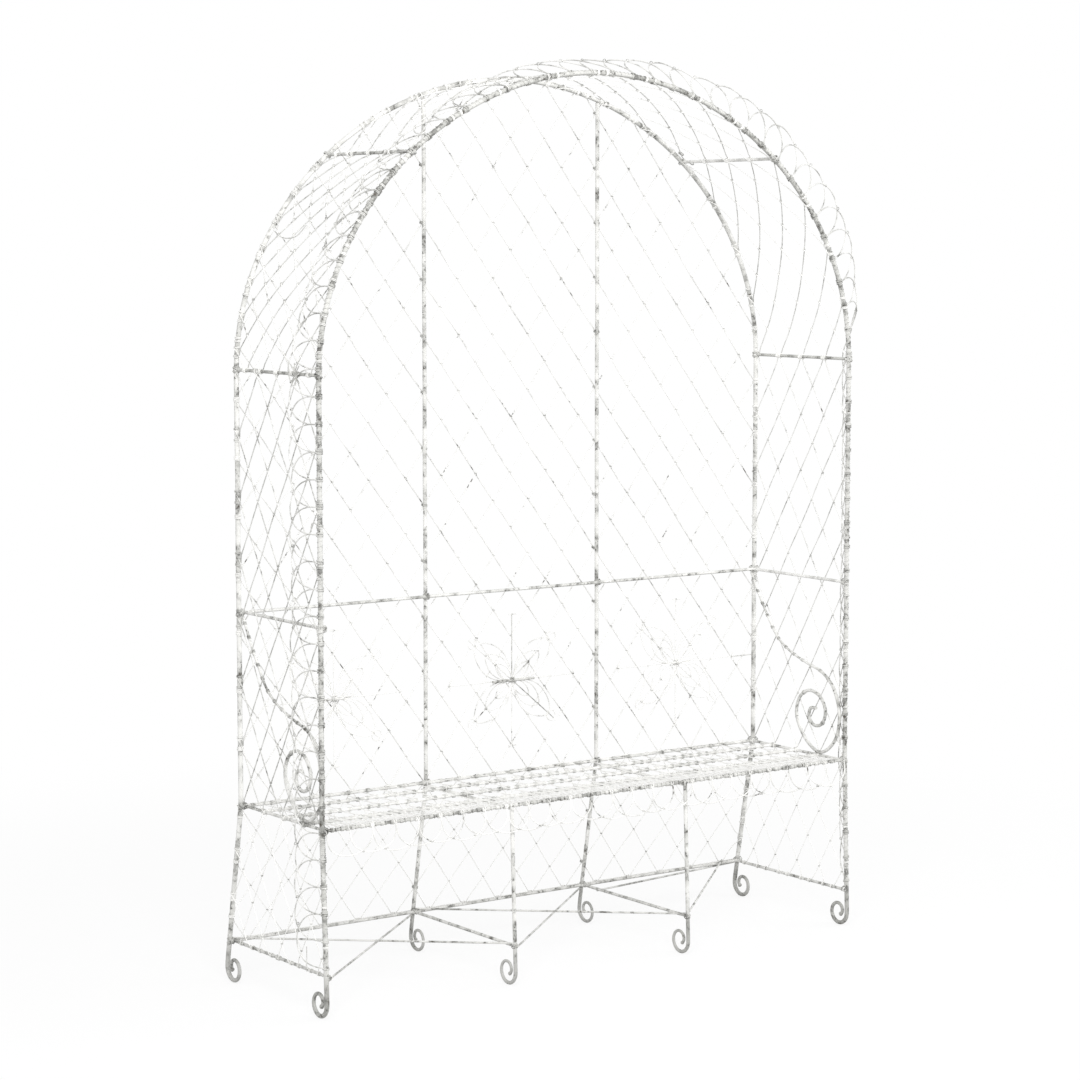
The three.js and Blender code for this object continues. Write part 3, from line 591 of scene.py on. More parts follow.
class SeatColours(bpy.types.PropertyGroup):
    """Colours of the old paint and of what shows through it."""

    paint: colour("Paint", "The cleanest paint", (0.91, 0.905, 0.885, 1))
    shade: colour("Shade", "Paint dulled by weather", (0.5, 0.5, 0.475, 1))
    # This colour is the dirt on the paint, and also the painted shade laid on the undersides
    grime_and_painted_shade: colour("Grime", "Dirt that has settled on the paint", (0.25, 0.25, 0.235, 1))
    undercoat: colour("Undercoat", "Grey undercoat in the chips", (0.19, 0.19, 0.18, 1))
    rust: colour("Rust", "Rusted metal in the deepest chips", (0.085, 0.07, 0.055, 1))


class StageLooks(bpy.types.PropertyGroup):
    """Camera and light."""

    camera: FloatVectorProperty(
        name="Camera",
        description="Where the camera stands, from the floor under the middle of the seat",
        default=(-4.28705, -5.91281, 1.825),
        subtype="TRANSLATION",
    )
    turn: FloatProperty(
        name="Turn", description="Camera turned from the back", default=math.radians(-35.63), subtype="ANGLE"
    )
    tip: FloatProperty(
        name="Tip", description="Camera tipped down from level", default=math.radians(5.9), subtype="ANGLE"
    )
    lens: FloatProperty(name="Lens", description="Focal length, in millimetres", default=96.7, min=1)
    sky: FloatProperty(name="Sky", description="Strength of the light all round", default=0.6, min=0)
    key: FloatProperty(
        name="Key lamp", description="Power of the large soft lamp", default=330, min=0, unit="POWER"
    )


class ARBOUR_OT_finishes(bpy.types.Operator):
    """Makes the paint of the rods, of the wires and of the bindings"""

    bl_idname = "arbour.finishes"
    bl_label = "Finishes"

    def execute(self, context):
        for name, wear in PAINTS.items():
            worn_paint(name, context.scene.arbour_colours, *wear)
        return {"FINISHED"}


class ARBOUR_OT_hoops(bpy.types.Operator):
    """Bends the two hoops, from scroll foot to scroll foot"""

    bl_idname = "arbour.hoops"
    bl_label = "Hoops"

    def execute(self, context):
        sizes = context.scene.arbour_sizes
        for name, side in {"front_hoop": -1, "back_hoop": 1}.items():
            depth = BACK * (side * HALF_DEPTH)
            left, shares = leg(-HALF_WIDTH, side, depth.y, sizes.hoop / 2)
            right, _ = leg(HALF_WIDTH, side, depth.y, sizes.hoop / 2)
            posts = [
                resampled([at(x, depth.y, SEAT_Z), at(x, depth.y, SPRING_Z)], ROD_STEP)[1:-1]
                for x in (-HALF_WIDTH, HALF_WIDTH)
            ]
            arch = [p + depth for p in resampled(ARCH.points, ROD_STEP)]
            middle = posts[0] + arch + posts[1][::-1]
            points = softened(left[::-1] + middle + right, EASINGS)
            shares = shares[::-1] + [1] * len(middle) + shares
            paint = "front_hoop_paint" if side < 0 else "rod_paint"
            rod_piece(name, hand_bent(points), sizes.hoop, shares, paint)
        return {"FINISHED"}


class ARBOUR_OT_posts(bpy.types.Operator):
    """Makes the uprights behind the seat and the inner legs in front of it"""

    bl_idname = "arbour.posts"
    bl_label = "Uprights and inner legs"

    def execute(self, context):
        sizes = context.scene.arbour_sizes
        for end, side in SIDES.items():
            x = side * BAY / 2
            name = "back_upright_" + end
            top = at(x, HALF_DEPTH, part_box(name)[1].z + sizes.post / 4)
            foot, shares = leg(x, 1, HALF_DEPTH, sizes.post / 2)
            shaft = resampled([top, foot[0]], ROD_STEP)[:-1]
            points = hand_bent(softened(shaft + foot, EASINGS))
            rod_piece(name, points, sizes.post, [1] * len(shaft) + shares)
            foot, shares = leg(x, -1, -HALF_DEPTH, sizes.post / 2)
            foot[0] -= UP * (sizes.rail / 2)
            rod_piece("front_leg_" + end, hand_bent(foot), sizes.post, shares)
        return {"FINISHED"}


def straight_line(node, falling=False):
    """The ends of a straight rod's centre line, from its node's box.

    A falling rod runs forward as it runs to the right.
    """
    low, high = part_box(node)
    middle = (low + high) / 2
    start, end = middle.copy(), middle.copy()
    for axis in (0, 1):
        if high[axis] - low[axis] > RUN_PROPORTION * (high.z - low.z):
            start[axis], end[axis] = low[axis], high[axis]
    if falling:
        start.y, end.y = end.y, start.y
    return [start - ORIGIN, end - ORIGIN]


def both(*stems):
    return [stem + end for stem in stems for end in SIDES]


RAILS = [
    *("seat_front_rail", "seat_back_rail", "seat_rod_1", "seat_rod_2", "seat_rod_3"),
    *both("seat_end_rail_", "seat_bearer_"),
    "back_arm_rail",
    *both("arm_rail_", "spring_bar_", "haunch_bar_"),
    "back_stretcher",
    *both("end_stretcher_", "cross_stretcher_"),
]
# The rails whose paint is worn more than that of the rest, or less
WORN_RAILS = ["seat_front_rail", "haunch_bar_left", *both("spring_bar_")]
FRESH_RAILS = [
    *("seat_rod_1", "seat_rod_2", "seat_rod_3", "arm_rail_right", "haunch_bar_right"),
    *both("seat_bearer_"),
]
RAIL_PAINTS = {**dict.fromkeys(WORN_RAILS, "bar_paint"), **dict.fromkeys(FRESH_RAILS, "pale_rod_paint")}
# Each brace, and whether it runs forward as it runs to the right
BRACES = {
    "brace_left_over": True,
    "brace_left_under": False,
    "brace_middle_over": True,
    "brace_middle_under": False,
    "brace_right_over": False,
    "brace_right_under": False,
}


class ARBOUR_OT_rails(bpy.types.Operator):
    """Makes the rails, bars, stretchers and braces"""

    bl_idname = "arbour.rails"
    bl_label = "Rails, bars and braces"

    def execute(self, context):
        sizes = context.scene.arbour_sizes
        for name in RAILS:
            points = resampled(straight_line(name), RAIL_STEP)
            paint = RAIL_PAINTS.get(name, "rod_paint")
            rod_piece(name, hand_bent(points, RAIL_BEND), sizes.rail, paint=paint)
        for name, falling in BRACES.items():
            points = resampled(straight_line(name, falling), RAIL_STEP)
            rod_piece(name, points, sizes.brace)
        return {"FINISHED"}


def through(places, steps):
    """A smooth line through places: a Catmull-Rom spline whose knots follow the spacing."""
    padded = [2 * places[0] - places[1], *places, 2 * places[-1] - places[-2]]
    line = []
    for a, b, c, d in zip(padded, padded[1:], padded[2:], padded[3:]):
        t1 = math.sqrt((b - a).length)
        t2 = t1 + math.sqrt((c - b).length)
        t3 = t2 + math.sqrt((d - c).length)
        for i in range(steps):
            t = t1 + (t2 - t1) * i / steps
            ab = a.lerp(b, t / t1)
            bc = b.lerp(c, (t - t1) / (t2 - t1))
            cd = c.lerp(d, (t - t2) / (t3 - t2))
            abc = ab.lerp(bc, t / t2)
            bcd = bc.lerp(cd, (t - t1) / (t3 - t1))
            line.append(abc.lerp(bcd, (t - t1) / (t2 - t1)))
    return line + [places[-1]]


class ARBOUR_OT_arms(bpy.types.Operator):
    """Bends the two arms, each with beads of binding wire along its sweep"""

    bl_idname = "arbour.arms"
    bl_label = "Arms"

    def execute(self, context):
        sizes = context.scene.arbour_sizes
        floor = SEAT_Z + (sizes.rail + sizes.arm) / 2
        slim = sizes.swoop / sizes.arm
        for end, side in SIDES.items():
            x = side * (HALF_WIDTH - (sizes.hoop + sizes.arm) / 2)
            places = [
                at(x, back * HALF_DEPTH, floor + (ARM_Z - floor) * up) for back, up in ARM_SHARES
            ]
            line = Line(through(places, ARM_STEPS))
            along = [distance / line.total for distance in line.lengths]
            swell = [min(max((share - ARM_SWELL_START) / ARM_SWELL_SPAN, 0), 1) for share in along]
            shares = [slim + (1 - slim) * share for share in swell]
            rod_piece("arm_" + end, line.points, sizes.arm, shares, "arm_paint")
            distances = [BEAD_START + BEAD_PITCH * i for i in range(SWEEP_BEADS)]
            beads = wrapped(line, distances, sizes.swoop / 2, SWEEP_BEAD_TURNS, sizes.binding)
            beads += wrapped(line, VOLUTE_BEADS, sizes.arm / 2, VOLUTE_BEAD_TURNS, sizes.binding)
            dressed("arm_beads_" + end, beads, "binding_paint")
        return {"FINISHED"}


class Panel:
    """A diamond lattice: its flat outline and cells, where its points lie, and what its edges bind to."""

    def __init__(self, name, gauge, outline, origin, cell, place, grip):
        self.name = name
        self.gauge = gauge
        self.outline = outline
        self.origin = origin
        self.cell = cell
        self.place = place
        self.grip = grip

    def on(self, spot, lift):
        """The place of a flat point, with the slight wander that all wires there share."""
        fade = min(max(depth_inside(self.outline, spot) / FADE, 0), 1)
        base = self.place(spot, lift)
        return base + noise.noise_vector(self.place(spot, 0) / WANDER_LENGTH) * (WANDER * fade)

    def axes_at(self, spot):
        """The place of a flat point, the panel's normal there and its second axis."""
        step = 0.001
        normal = self.place(spot, step) - self.place(spot, -step)
        aside = flat(0, step)
        second = self.place(spot + aside, 0) - self.place(spot - aside, 0)
        return self.on(spot, 0), normal.normalized(), second.normalized()

    def lines(self):
        """Each wire of the lattice: its lean, and where it meets the outline with which edge."""
        columns = [(c.x - self.origin.x) / self.cell.x for c in self.outline]
        rows = [(c.y - self.origin.y) / self.cell.y for c in self.outline]
        reach = math.ceil(max(columns) - min(columns) + max(rows) - min(rows)) + 1
        for lean in (1, -1):
            for k in range(-reach, reach + 1):
                start = self.origin + flat(k * self.cell.x, 0)
                step = flat(self.cell.x, lean * self.cell.y)
                found = stretch_inside(self.outline, start, step)
                shortest = min(self.cell) * SHORTEST_WIRE_SHARE
                if found and (found[1][0] - found[0][0]) * step.length > shortest:
                    yield lean, [(start + step * t, edge) for t, edge in found]

    def crossings(self, margin):
        """The flat points where two wires cross, in from the outline by a margin."""
        half = self.cell / 2
        us = [(c.x - self.origin.x) / half.x for c in self.outline]
        vs = [(c.y - self.origin.y) / half.y for c in self.outline]
        for a in range(math.floor(min(us)), math.ceil(max(us)) + 1):
            for b in range(math.floor(min(vs)), math.ceil(max(vs)) + 1):
                spot = self.origin + flat(a * half.x, b * half.y)
                if (a + b) % 2 == 0 and depth_inside(self.outline, spot) > margin:
                    yield spot


def lattice_wires(panel):
    """The wires of a lattice in each lean, and the turns at their ends round the rods that they meet."""
    layer = panel.gauge / 2
    wires, turns = {1: [], -1: []}, []
    for lean, ((start, start_edge), (end, end_edge)) in panel.lines():
        count = max(round((end - start).length / LATTICE_STEP), 3)
        points = [panel.on(start.lerp(end, i / count), lean * layer) for i in range(count + 1)]
        for edge, spot in ((start_edge, start), (end_edge, end)):
            points.reverse()
            axis_spot, axis, first, reach = panel.grip(spot, edge, lean)
            heading = (points[-1] - points[-2]).normalized()
            way = math.copysign(1, heading.dot(axis.cross(first)))
            drift = math.copysign(panel.gauge * GRIP_PITCH, heading.dot(axis))
            winding = coil(axis_spot, axis, first, (reach, reach), way * GRIP_TURNS, drift)
            points[-1] = winding[0]
            turns.append(Wire(winding, panel.gauge))
        wires[lean].append(Wire(points, panel.gauge))
    return wires, turns


def lattice_pieces(panel, sizes, bare_and_shaded, extra=(), skip=lambda spot: False, paints=LATTICE_PAINTS):
    """A lattice panel as four pieces: its wires in each lean, the turns at their ends and the ties.

    The wires of one lean, given by the third argument, take darker paint than the others: painted shade, for
    the way the light falls on wires that lean that way.
    """
    shaded_lean_paint, other_paint = paints
    wires, turns = lattice_wires(panel)
    ties = []
    for spot in panel.crossings(TIE_MARGIN):
        if skip(spot):
            continue
        place, normal, second = panel.axes_at(spot)
        radii = (panel.gauge + sizes.tie / 2, panel.gauge * TIE_FLATNESS + sizes.tie / 2)
        ties.append(tie(place, second, normal, radii, TIE_TURNS, sizes.tie))
    dressed(panel.name, wires[bare_and_shaded] + list(extra), shaded_lean_paint, replaces=[panel.name])
    dressed(panel.name + "_crossing", wires[-bare_and_shaded], other_paint)
    dressed(panel.name + "_turns", turns, other_paint)
    dressed(panel.name + "_ties", ties, "dark_wire_paint", TIE_SIDES)


def rectangle(left, right, low, high):
    return [flat(left, low), flat(right, low), flat(right, high), flat(left, high)]


def arch_normal(spot):
    """The direction away from the arch at a point on it, in the plane of a hoop."""
    power = ARCH_EXPONENT - 1
    x, z = spot.x / HALF_WIDTH, max(spot.y - SPRING_Z, 0) / ARCH_RISE
    return at(math.copysign(abs(x) ** power, x) / HALF_WIDTH, 0, z**power / ARCH_RISE).normalized()


class ARBOUR_OT_back_lattice(bpy.types.Operator):
    """Ties the lattice of the back, above the seat and below it"""

    bl_idname = "arbour.back_lattice"
    bl_label = "Back lattice"

    def execute(self, context):
        sizes = context.scene.arbour_sizes
        behind = sizes.hoop / 2 + sizes.lattice
        reach = (sizes.hoop + sizes.lattice) / 2
        cell = flat(2 * HALF_WIDTH / BACK_COLUMNS, DIAMOND_HEIGHT)
        origin = flat(-HALF_WIDTH, SEAT_Z)
        lean = math.hypot(1, LEG_SPLAYS[1] / (SEAT_Z - STRETCHER_Z))

        def border(z):
            depth = leg_depth(1, HALF_DEPTH, z) + behind * (lean if z < SEAT_Z else 1)
            ends = [at(x, depth, z) for x in (-HALF_WIDTH, HALF_WIDTH)]
            return Wire(hand_bent(resampled(ends, 2 * LATTICE_STEP), BORDER_BEND), sizes.lattice)

        def round_border(spot, side):
            depth = leg_depth(1, HALF_DEPTH, spot.y) + behind * (lean if spot.y < SEAT_Z - FADE else 1)
            return at(spot.x, depth, spot.y), RIGHT, BACK * -side, sizes.lattice

        def upper_grip(spot, edge, side):
            if edge == 0:
                return round_border(spot, side)
            axis = UP
            if spot.y > SPRING_Z:
                axis = BACK.cross(arch_normal(spot))
            return at(spot.x, HALF_DEPTH, spot.y), axis, BACK, reach

        def lower_grip(spot, edge, side):
            if edge in (0, 2):
                return round_border(spot, side)
            axis = leg_direction(1)
            spot = at(spot.x, leg_depth(1, HALF_DEPTH, spot.y), spot.y)
            return spot, axis, axis.cross(RIGHT), reach

        arch = [ARCH.at(ARCH.total * (1 - i / ARCH_CORNERS))[0] for i in range(ARCH_CORNERS + 1)]
        outline = [origin, flat(HALF_WIDTH, SEAT_Z), *[flat(p.x, p.z) for p in arch]]
        upper = Panel(
            "back_lattice",
            sizes.lattice,
            outline,
            origin,
            cell,
            lambda spot, lift: at(spot.x, HALF_DEPTH + behind - lift, spot.y),
            upper_grip,
        )
        lower = Panel(
            "back_skirt",
            sizes.skirt,
            rectangle(-HALF_WIDTH, HALF_WIDTH, STRETCHER_Z, SEAT_Z),
            origin,
            cell,
            lambda spot, lift: at(
                spot.x, leg_depth(1, HALF_DEPTH, spot.y) + (behind - lift) * lean, spot.y
            ),
            lower_grip,
        )

        def at_upright(spot):
            return abs(abs(spot.x) - BAY / 2) < cell.x * UPRIGHT_REACH_SHARE

        bands = []
        depth = (sizes.post / 2 + behind + sizes.lattice) / 2
        for panel in (upper, lower):
            for spot in panel.crossings(TIE_MARGIN):
                if not at_upright(spot):
                    continue
                place, normal, second = panel.axes_at(spot)
                centre = place + normal * (behind + sizes.lattice - depth)
                radii = (depth + sizes.binding, sizes.post / 2 + sizes.binding / 2)
                bands.append(tie(centre, second, normal, radii, BAND_TURNS, sizes.binding, COIL_STEPS))
        lattice_pieces(upper, sizes, -1, [border(SEAT_Z)], at_upright)
        lattice_pieces(lower, sizes, -1, [border(STRETCHER_Z)], at_upright, SKIRT_PAINTS)
        dressed("upright_bands", bands, "binding_paint")
        return {"FINISHED"}


class ARBOUR_OT_end_lattices(bpy.types.Operator):
    """Ties the lattice of each end, above the seat and below it"""

    bl_idname = "arbour.end_lattices"
    bl_label = "End lattices"

    def execute(self, context):
        sizes = context.scene.arbour_sizes
        reach = HALF_DEPTH - PANEL_INSET
        post_reach = (sizes.hoop + sizes.lattice) / 2
        rail_reach = (sizes.rail + sizes.lattice) / 2
        low, high = SEAT_Z + rail_reach, SPRING_Z - rail_reach
        skirt_high = SEAT_Z - rail_reach

        def front(z):
            return leg_depth(-1, -HALF_DEPTH, z)

        def back(z):
            return leg_depth(1, HALF_DEPTH, z)

        corners = [(front, STRETCHER_Z), (back, STRETCHER_Z), (back, SEAT_Z), (front, SEAT_Z)]
        skirt_outline = [flat(edge(z), z) for edge, z in corners]
        for end, side in SIDES.items():

            def place(spot, lift):
                return at(side * (HALF_WIDTH + lift), spot.x, spot.y)

            def on_rail(spot, z):
                return at(side * END_RAIL_X, spot.x, z), BACK, RIGHT * side, rail_reach

            def upper_grip(spot, edge, lean):
                if edge == 0:
                    return on_rail(spot, SEAT_Z)
                aside = RIGHT * (side * lean)
                if edge == 2:
                    return at(side * HALF_WIDTH, spot.x, SPRING_Z), BACK, aside, rail_reach
                depth = math.copysign(HALF_DEPTH, spot.x)
                return at(side * HALF_WIDTH, depth, spot.y), UP, aside, post_reach

            def lower_grip(spot, edge, lean):
                if edge in (0, 2) or spot.y < STRETCHER_Z + CORNER:
                    return on_rail(spot, SEAT_Z if edge == 2 else STRETCHER_Z)
                depth = back(spot.y) if edge == 1 else front(spot.y)
                axis = leg_direction(1 if edge == 1 else -1)
                return at(side * HALF_WIDTH, depth, spot.y), axis, RIGHT * (side * lean), post_reach

            upper = Panel(
                "end_lattice_" + end,
                sizes.lattice,
                rectangle(-HALF_DEPTH, HALF_DEPTH, SEAT_Z, SPRING_Z),
                flat(-reach, low),
                flat(2 * reach / END_COLUMNS, (high - low) / END_ROWS),
                place,
                upper_grip,
            )
            lower = Panel(
                "end_skirt_" + end,
                sizes.skirt,
                skirt_outline,
                flat(front(skirt_high) + PANEL_INSET, skirt_high),
                flat(2 * reach / END_COLUMNS, END_DIAMOND_HEIGHT),
                place,
                lower_grip,
            )
            lattice_pieces(upper, sizes, -1, paints=END_PAINTS[end])
            lattice_pieces(lower, sizes, -1, paints=SKIRT_PAINTS)
        return {"FINISHED"}


class ARBOUR_OT_roof_lattice(bpy.types.Operator):
    """Ties the lattice over the arch, in three fields between the bars"""

    bl_idname = "arbour.roof_lattice"
    bl_label = "Roof lattice"

    def execute(self, context):
        sizes = context.scene.arbour_sizes
        reach = HALF_DEPTH - PANEL_INSET

        def place(spot, lift):
            point, run = ARCH.at(spot.x)
            return point + outward_of(run) * lift + BACK * spot.y

        def grip(spot, edge, lean):
            point, run = ARCH.at(spot.x)
            first = outward_of(run) * lean
            if edge in (1, 3):
                return point + BACK * spot.y, BACK, first, (sizes.rail + sizes.lattice) / 2
            depth = BACK * math.copysign(HALF_DEPTH, spot.y)
            return point + depth, run, first, (sizes.hoop + sizes.lattice) / 2

        stops = [share * ARCH.total for share in (0, *UPPER_BAR_SHARES, 1)]
        for (name, field), start, end in zip(ROOF_DIAMONDS.items(), stops, stops[1:]):
            along, across, part, bare_and_shaded = field
            outline = rectangle(start, end, -HALF_DEPTH, HALF_DEPTH)
            cell = flat((end - start) / along, 2 * reach / across)
            origin = flat(start - part * cell.x, -reach)
            panel = Panel("roof_lattice_" + name, sizes.lattice, outline, origin, cell, place, grip)
            lattice_pieces(panel, sizes, bare_and_shaded, paints=ROOF_PAINTS[name])
        return {"FINISHED"}


def hairpins(name, place_at, count, pitch, depth, reach, sizes, paints, stand_off=0):
    """Overlapping hairpin loops bound to a rod, as three pieces: the loops, the turns of their feet and ties.

    place_at gives the rod's centre at a distance, its direction, and the direction in which loops rise.
    """
    rng = random.Random(SEED)
    layer = sizes.loop / 2
    loops, turns, ties = [], [], []

    def point_at(along, height, aside):
        spot, run, rise = place_at(along * pitch)
        away = reach + stand_off * min(1, height / (STAND_OFF_SPAN * reach)) + aside * layer
        return spot + rise * height + run.cross(rise) * away

    for i in range(count - 1):
        full = depth * rng.uniform(1 - LOOP_UNEVENNESS, 1)
        slip = rng.uniform(-LOOP_UNEVENNESS, LOOP_UNEVENNESS)
        points = []
        for step in range(LOOP_STEPS + 1):
            angle = math.pi * step / LOOP_STEPS
            rise = max(math.sin(angle), 0)
            along = i + 1 - math.cos(angle) + slip * rise
            points.append(point_at(along, full * rise**LOOP_FULLNESS, math.sin(2 * angle)))
        loops.append(Wire(points, sizes.loop))
        for foot, drift in ((i, -1), (i + 2, 1)):
            spot, run, rise = place_at(foot * pitch)
            pitch_here = drift * sizes.loop * WOUND_PITCH
            winding = coil(spot, run, run.cross(rise), (reach, reach), -FOOT_TURNS, pitch_here)
            turns.append(Wire(winding, sizes.loop))
        if i + 2 < count:
            _, run, rise = place_at((i + 1.5) * pitch)
            centre = point_at(i + 1.5, depth * LOOP_MEAN_SHARE * math.sin(math.pi / 3) ** LOOP_FULLNESS, 0)
            radii = (sizes.loop + sizes.tie / 2,) * 2
            ties.append(tie(centre, rise, run.cross(rise), radii, TIE_TURNS, sizes.tie))
    loop_paint, turn_paint, tie_paint = paints
    dressed(name, loops, loop_paint, replaces=[name])
    dressed(name + "_turns", turns, turn_paint)
    dressed(name + "_ties", ties, tie_paint, TIE_SIDES)


def lean_at(share):
    """The lean of the edging towards the back, in radians, at a share of the way along the arch."""
    share = min(max(share, 0), 1)
    i = max(bisect.bisect_left(LEAN_PLACE_SHARES, share), 1)
    low, high = LEAN_PLACE_SHARES[i - 1 : i + 1]
    part = (share - low) / (high - low)
    part = part * part * (3 - 2 * part)
    return math.radians(LEAN_DEGREES[i - 1] + (LEAN_DEGREES[i] - LEAN_DEGREES[i - 1]) * part)


class ARBOUR_OT_edging(bpy.types.Operator):
    """Binds the looped edging round the front hoop"""

    bl_idname = "arbour.edging"
    bl_label = "Edging"

    def execute(self, context):
        sizes = context.scene.arbour_sizes
        low = STRETCHER_Z + EDGING_START
        foot = leg_depth(-1, -HALF_DEPTH, low)
        line = Line(
            [
                at(-HALF_WIDTH, foot, low),
                at(-HALF_WIDTH, -HALF_DEPTH, SEAT_Z),
                *[point - BACK * HALF_DEPTH for point in ARCH.points],
                at(HALF_WIDTH, -HALF_DEPTH, SEAT_Z),
                at(HALF_WIDTH, foot, low),
            ]
        )
        before = (line.total - ARCH.total) / 2

        def place_at(distance):
            spot, run = line.at(distance)
            outward = outward_of(run)
            lean = lean_at((distance - before) / ARCH.total)
            rise = outward * math.cos(lean) + outward.cross(run) * math.sin(lean)
            return spot, run, rise.normalized()

        count = round(line.total / LOOP_PITCH)
        pitch = line.total / count
        reach = (sizes.hoop + sizes.loop) / 2
        hairpins("front_edging", place_at, count, pitch, EDGING_DEPTH, reach, sizes, EDGING_PAINTS)
        rod = (sizes.hoop + sizes.tie) / 2
        stretch = pitch - 2 * WHIPPING_GAP
        steps = round(stretch / WHIPPING_PITCH * COIL_STEPS)
        whipping = []
        for i in range(count):
            spots = []
            for step in range(steps + 1):
                spot, run, rise = place_at(i * pitch + WHIPPING_GAP + stretch * step / steps)
                angle = 2 * math.pi * step / COIL_STEPS
                arm = rise * (rod * math.cos(angle))
                spots.append(spot + arm + run.cross(rise) * (rod * math.sin(angle)))
            whipping.append(Wire(spots, sizes.tie))
        dressed("front_hoop_whipping", whipping, "binding_paint")
        return {"FINISHED"}


class ARBOUR_OT_apron(bpy.types.Operator):
    """Hangs the looped apron from the seat's front rail"""

    bl_idname = "arbour.apron"
    bl_label = "Apron"

    def execute(self, context):
        sizes = context.scene.arbour_sizes
        half = HALF_WIDTH - (sizes.hoop + sizes.loop) / 2
        count = round(2 * half / LOOP_PITCH)
        drop = leg_direction(-1)

        def place_at(distance):
            return at(half - distance, -HALF_DEPTH, SEAT_Z), -RIGHT, drop

        reach = (sizes.rail + sizes.loop) / 2
        stand_off = sizes.post / 2 + APRON_CLEARANCE * sizes.loop - reach
        pitch = 2 * half / count
        hairpins("seat_apron", place_at, count, pitch, APRON_DEPTH, reach, sizes, APRON_PAINTS, stand_off)
        return {"FINISHED"}


class ARBOUR_OT_lacing(bpy.types.Operator):
    """Laces wire to and fro over the seat, with turns round each rod"""

    bl_idname = "arbour.lacing"
    bl_label = "Seat lacing"

    def execute(self, context):
        sizes = context.scene.arbour_sizes
        reach = (sizes.rail + sizes.lacing) / 2
        half = HALF_WIDTH - sizes.hoop / 2 - sizes.arm - LACING_MARGIN * sizes.lacing
        count = round(2 * half / LACING_PITCH)
        for row, (front, back) in enumerate(zip(SEAT_LINES, SEAT_LINES[1:])):
            runs, turns = [], []
            for start, part in FRONT_LACINGS if row == 0 else ((1, 0),):
                leaving = None
                for k in range(count):
                    x = -half + 2 * half * (k + part) / count
                    at_back = (k + start) % 2
                    level = -1 if at_back else 1
                    heading = 1 if at_back else -1
                    rod = at(x, back if at_back else front, SEAT_Z)
                    around = LACING_TURNS + 0.5 if part == 0 else 0.5
                    wind = -around * level * heading
                    winding = coil(rod, RIGHT, UP * level, (reach, reach), wind, sizes.lacing * WOUND_PITCH)
                    if leaving:
                        runs.append(Wire([leaving, winding[0]], sizes.lacing))
                    leaving = winding[-1]
                    turns.append(Wire(winding, sizes.lacing))
            name = "seat_lacing_%d" % (row + 1)
            dressed(name, runs, "pale_wire_paint", replaces=[name])
            dressed(name + "_turns", turns, "edging_paint")
        return {"FINISHED"}


# Rosettes: the lengths of their level, upright and slanting spokes, and the slant
ROSETTE_REACH = 0.196
ROSETTE_UPRIGHT = 0.172
ROSETTE_SLANTING = 0.176
ROSETTE_TILT = math.radians(40)
# The dark middle of each rosette's level spoke, and the rosette's paints: of that core and the beads, and of
# the wires. On the middle rosette the upper spoke and one slanting spoke are as dark as the core.
CORE_LENGTHS = {"left": 0.05, "middle": 0.132, "right": 0.03}
CORE_ROD = 0.0062
CORE_STEP = 0.01
ROSETTE_PAINTS = {
    "left": ("wire_paint", "pale_wire_paint"),
    "middle": ("binding_paint", "wire_paint"),
    "right": ("edging_paint", "pale_wire_paint"),
}
DARK_SPOKE = 1
DARK_SLANTING_SPOKE = 3
# The length and width of each petal on a slanting spoke
PETALS = [(0.152, 0.088), (0.108, 0.058), (0.066, 0.034)]
PETAL_STEPS = 26
PETAL_FULLNESS = 0.6
PETAL_SWELL_TURN = 0.72 * math.pi
TICK_LENGTH = 0.024
CURL_RADIUS = 0.014
CURL_TURNS = 0.9
CURL_PITCH = 0.001
CURL_STEPS = 18
TIP_BEAD_SPREAD = 1.2
PETAL_BEAD_SPREAD = 1.25
HUB_RADIUS = 0.0045
HUB_TURNS = 7
HUB_LASHING = (0.008, 0.007)


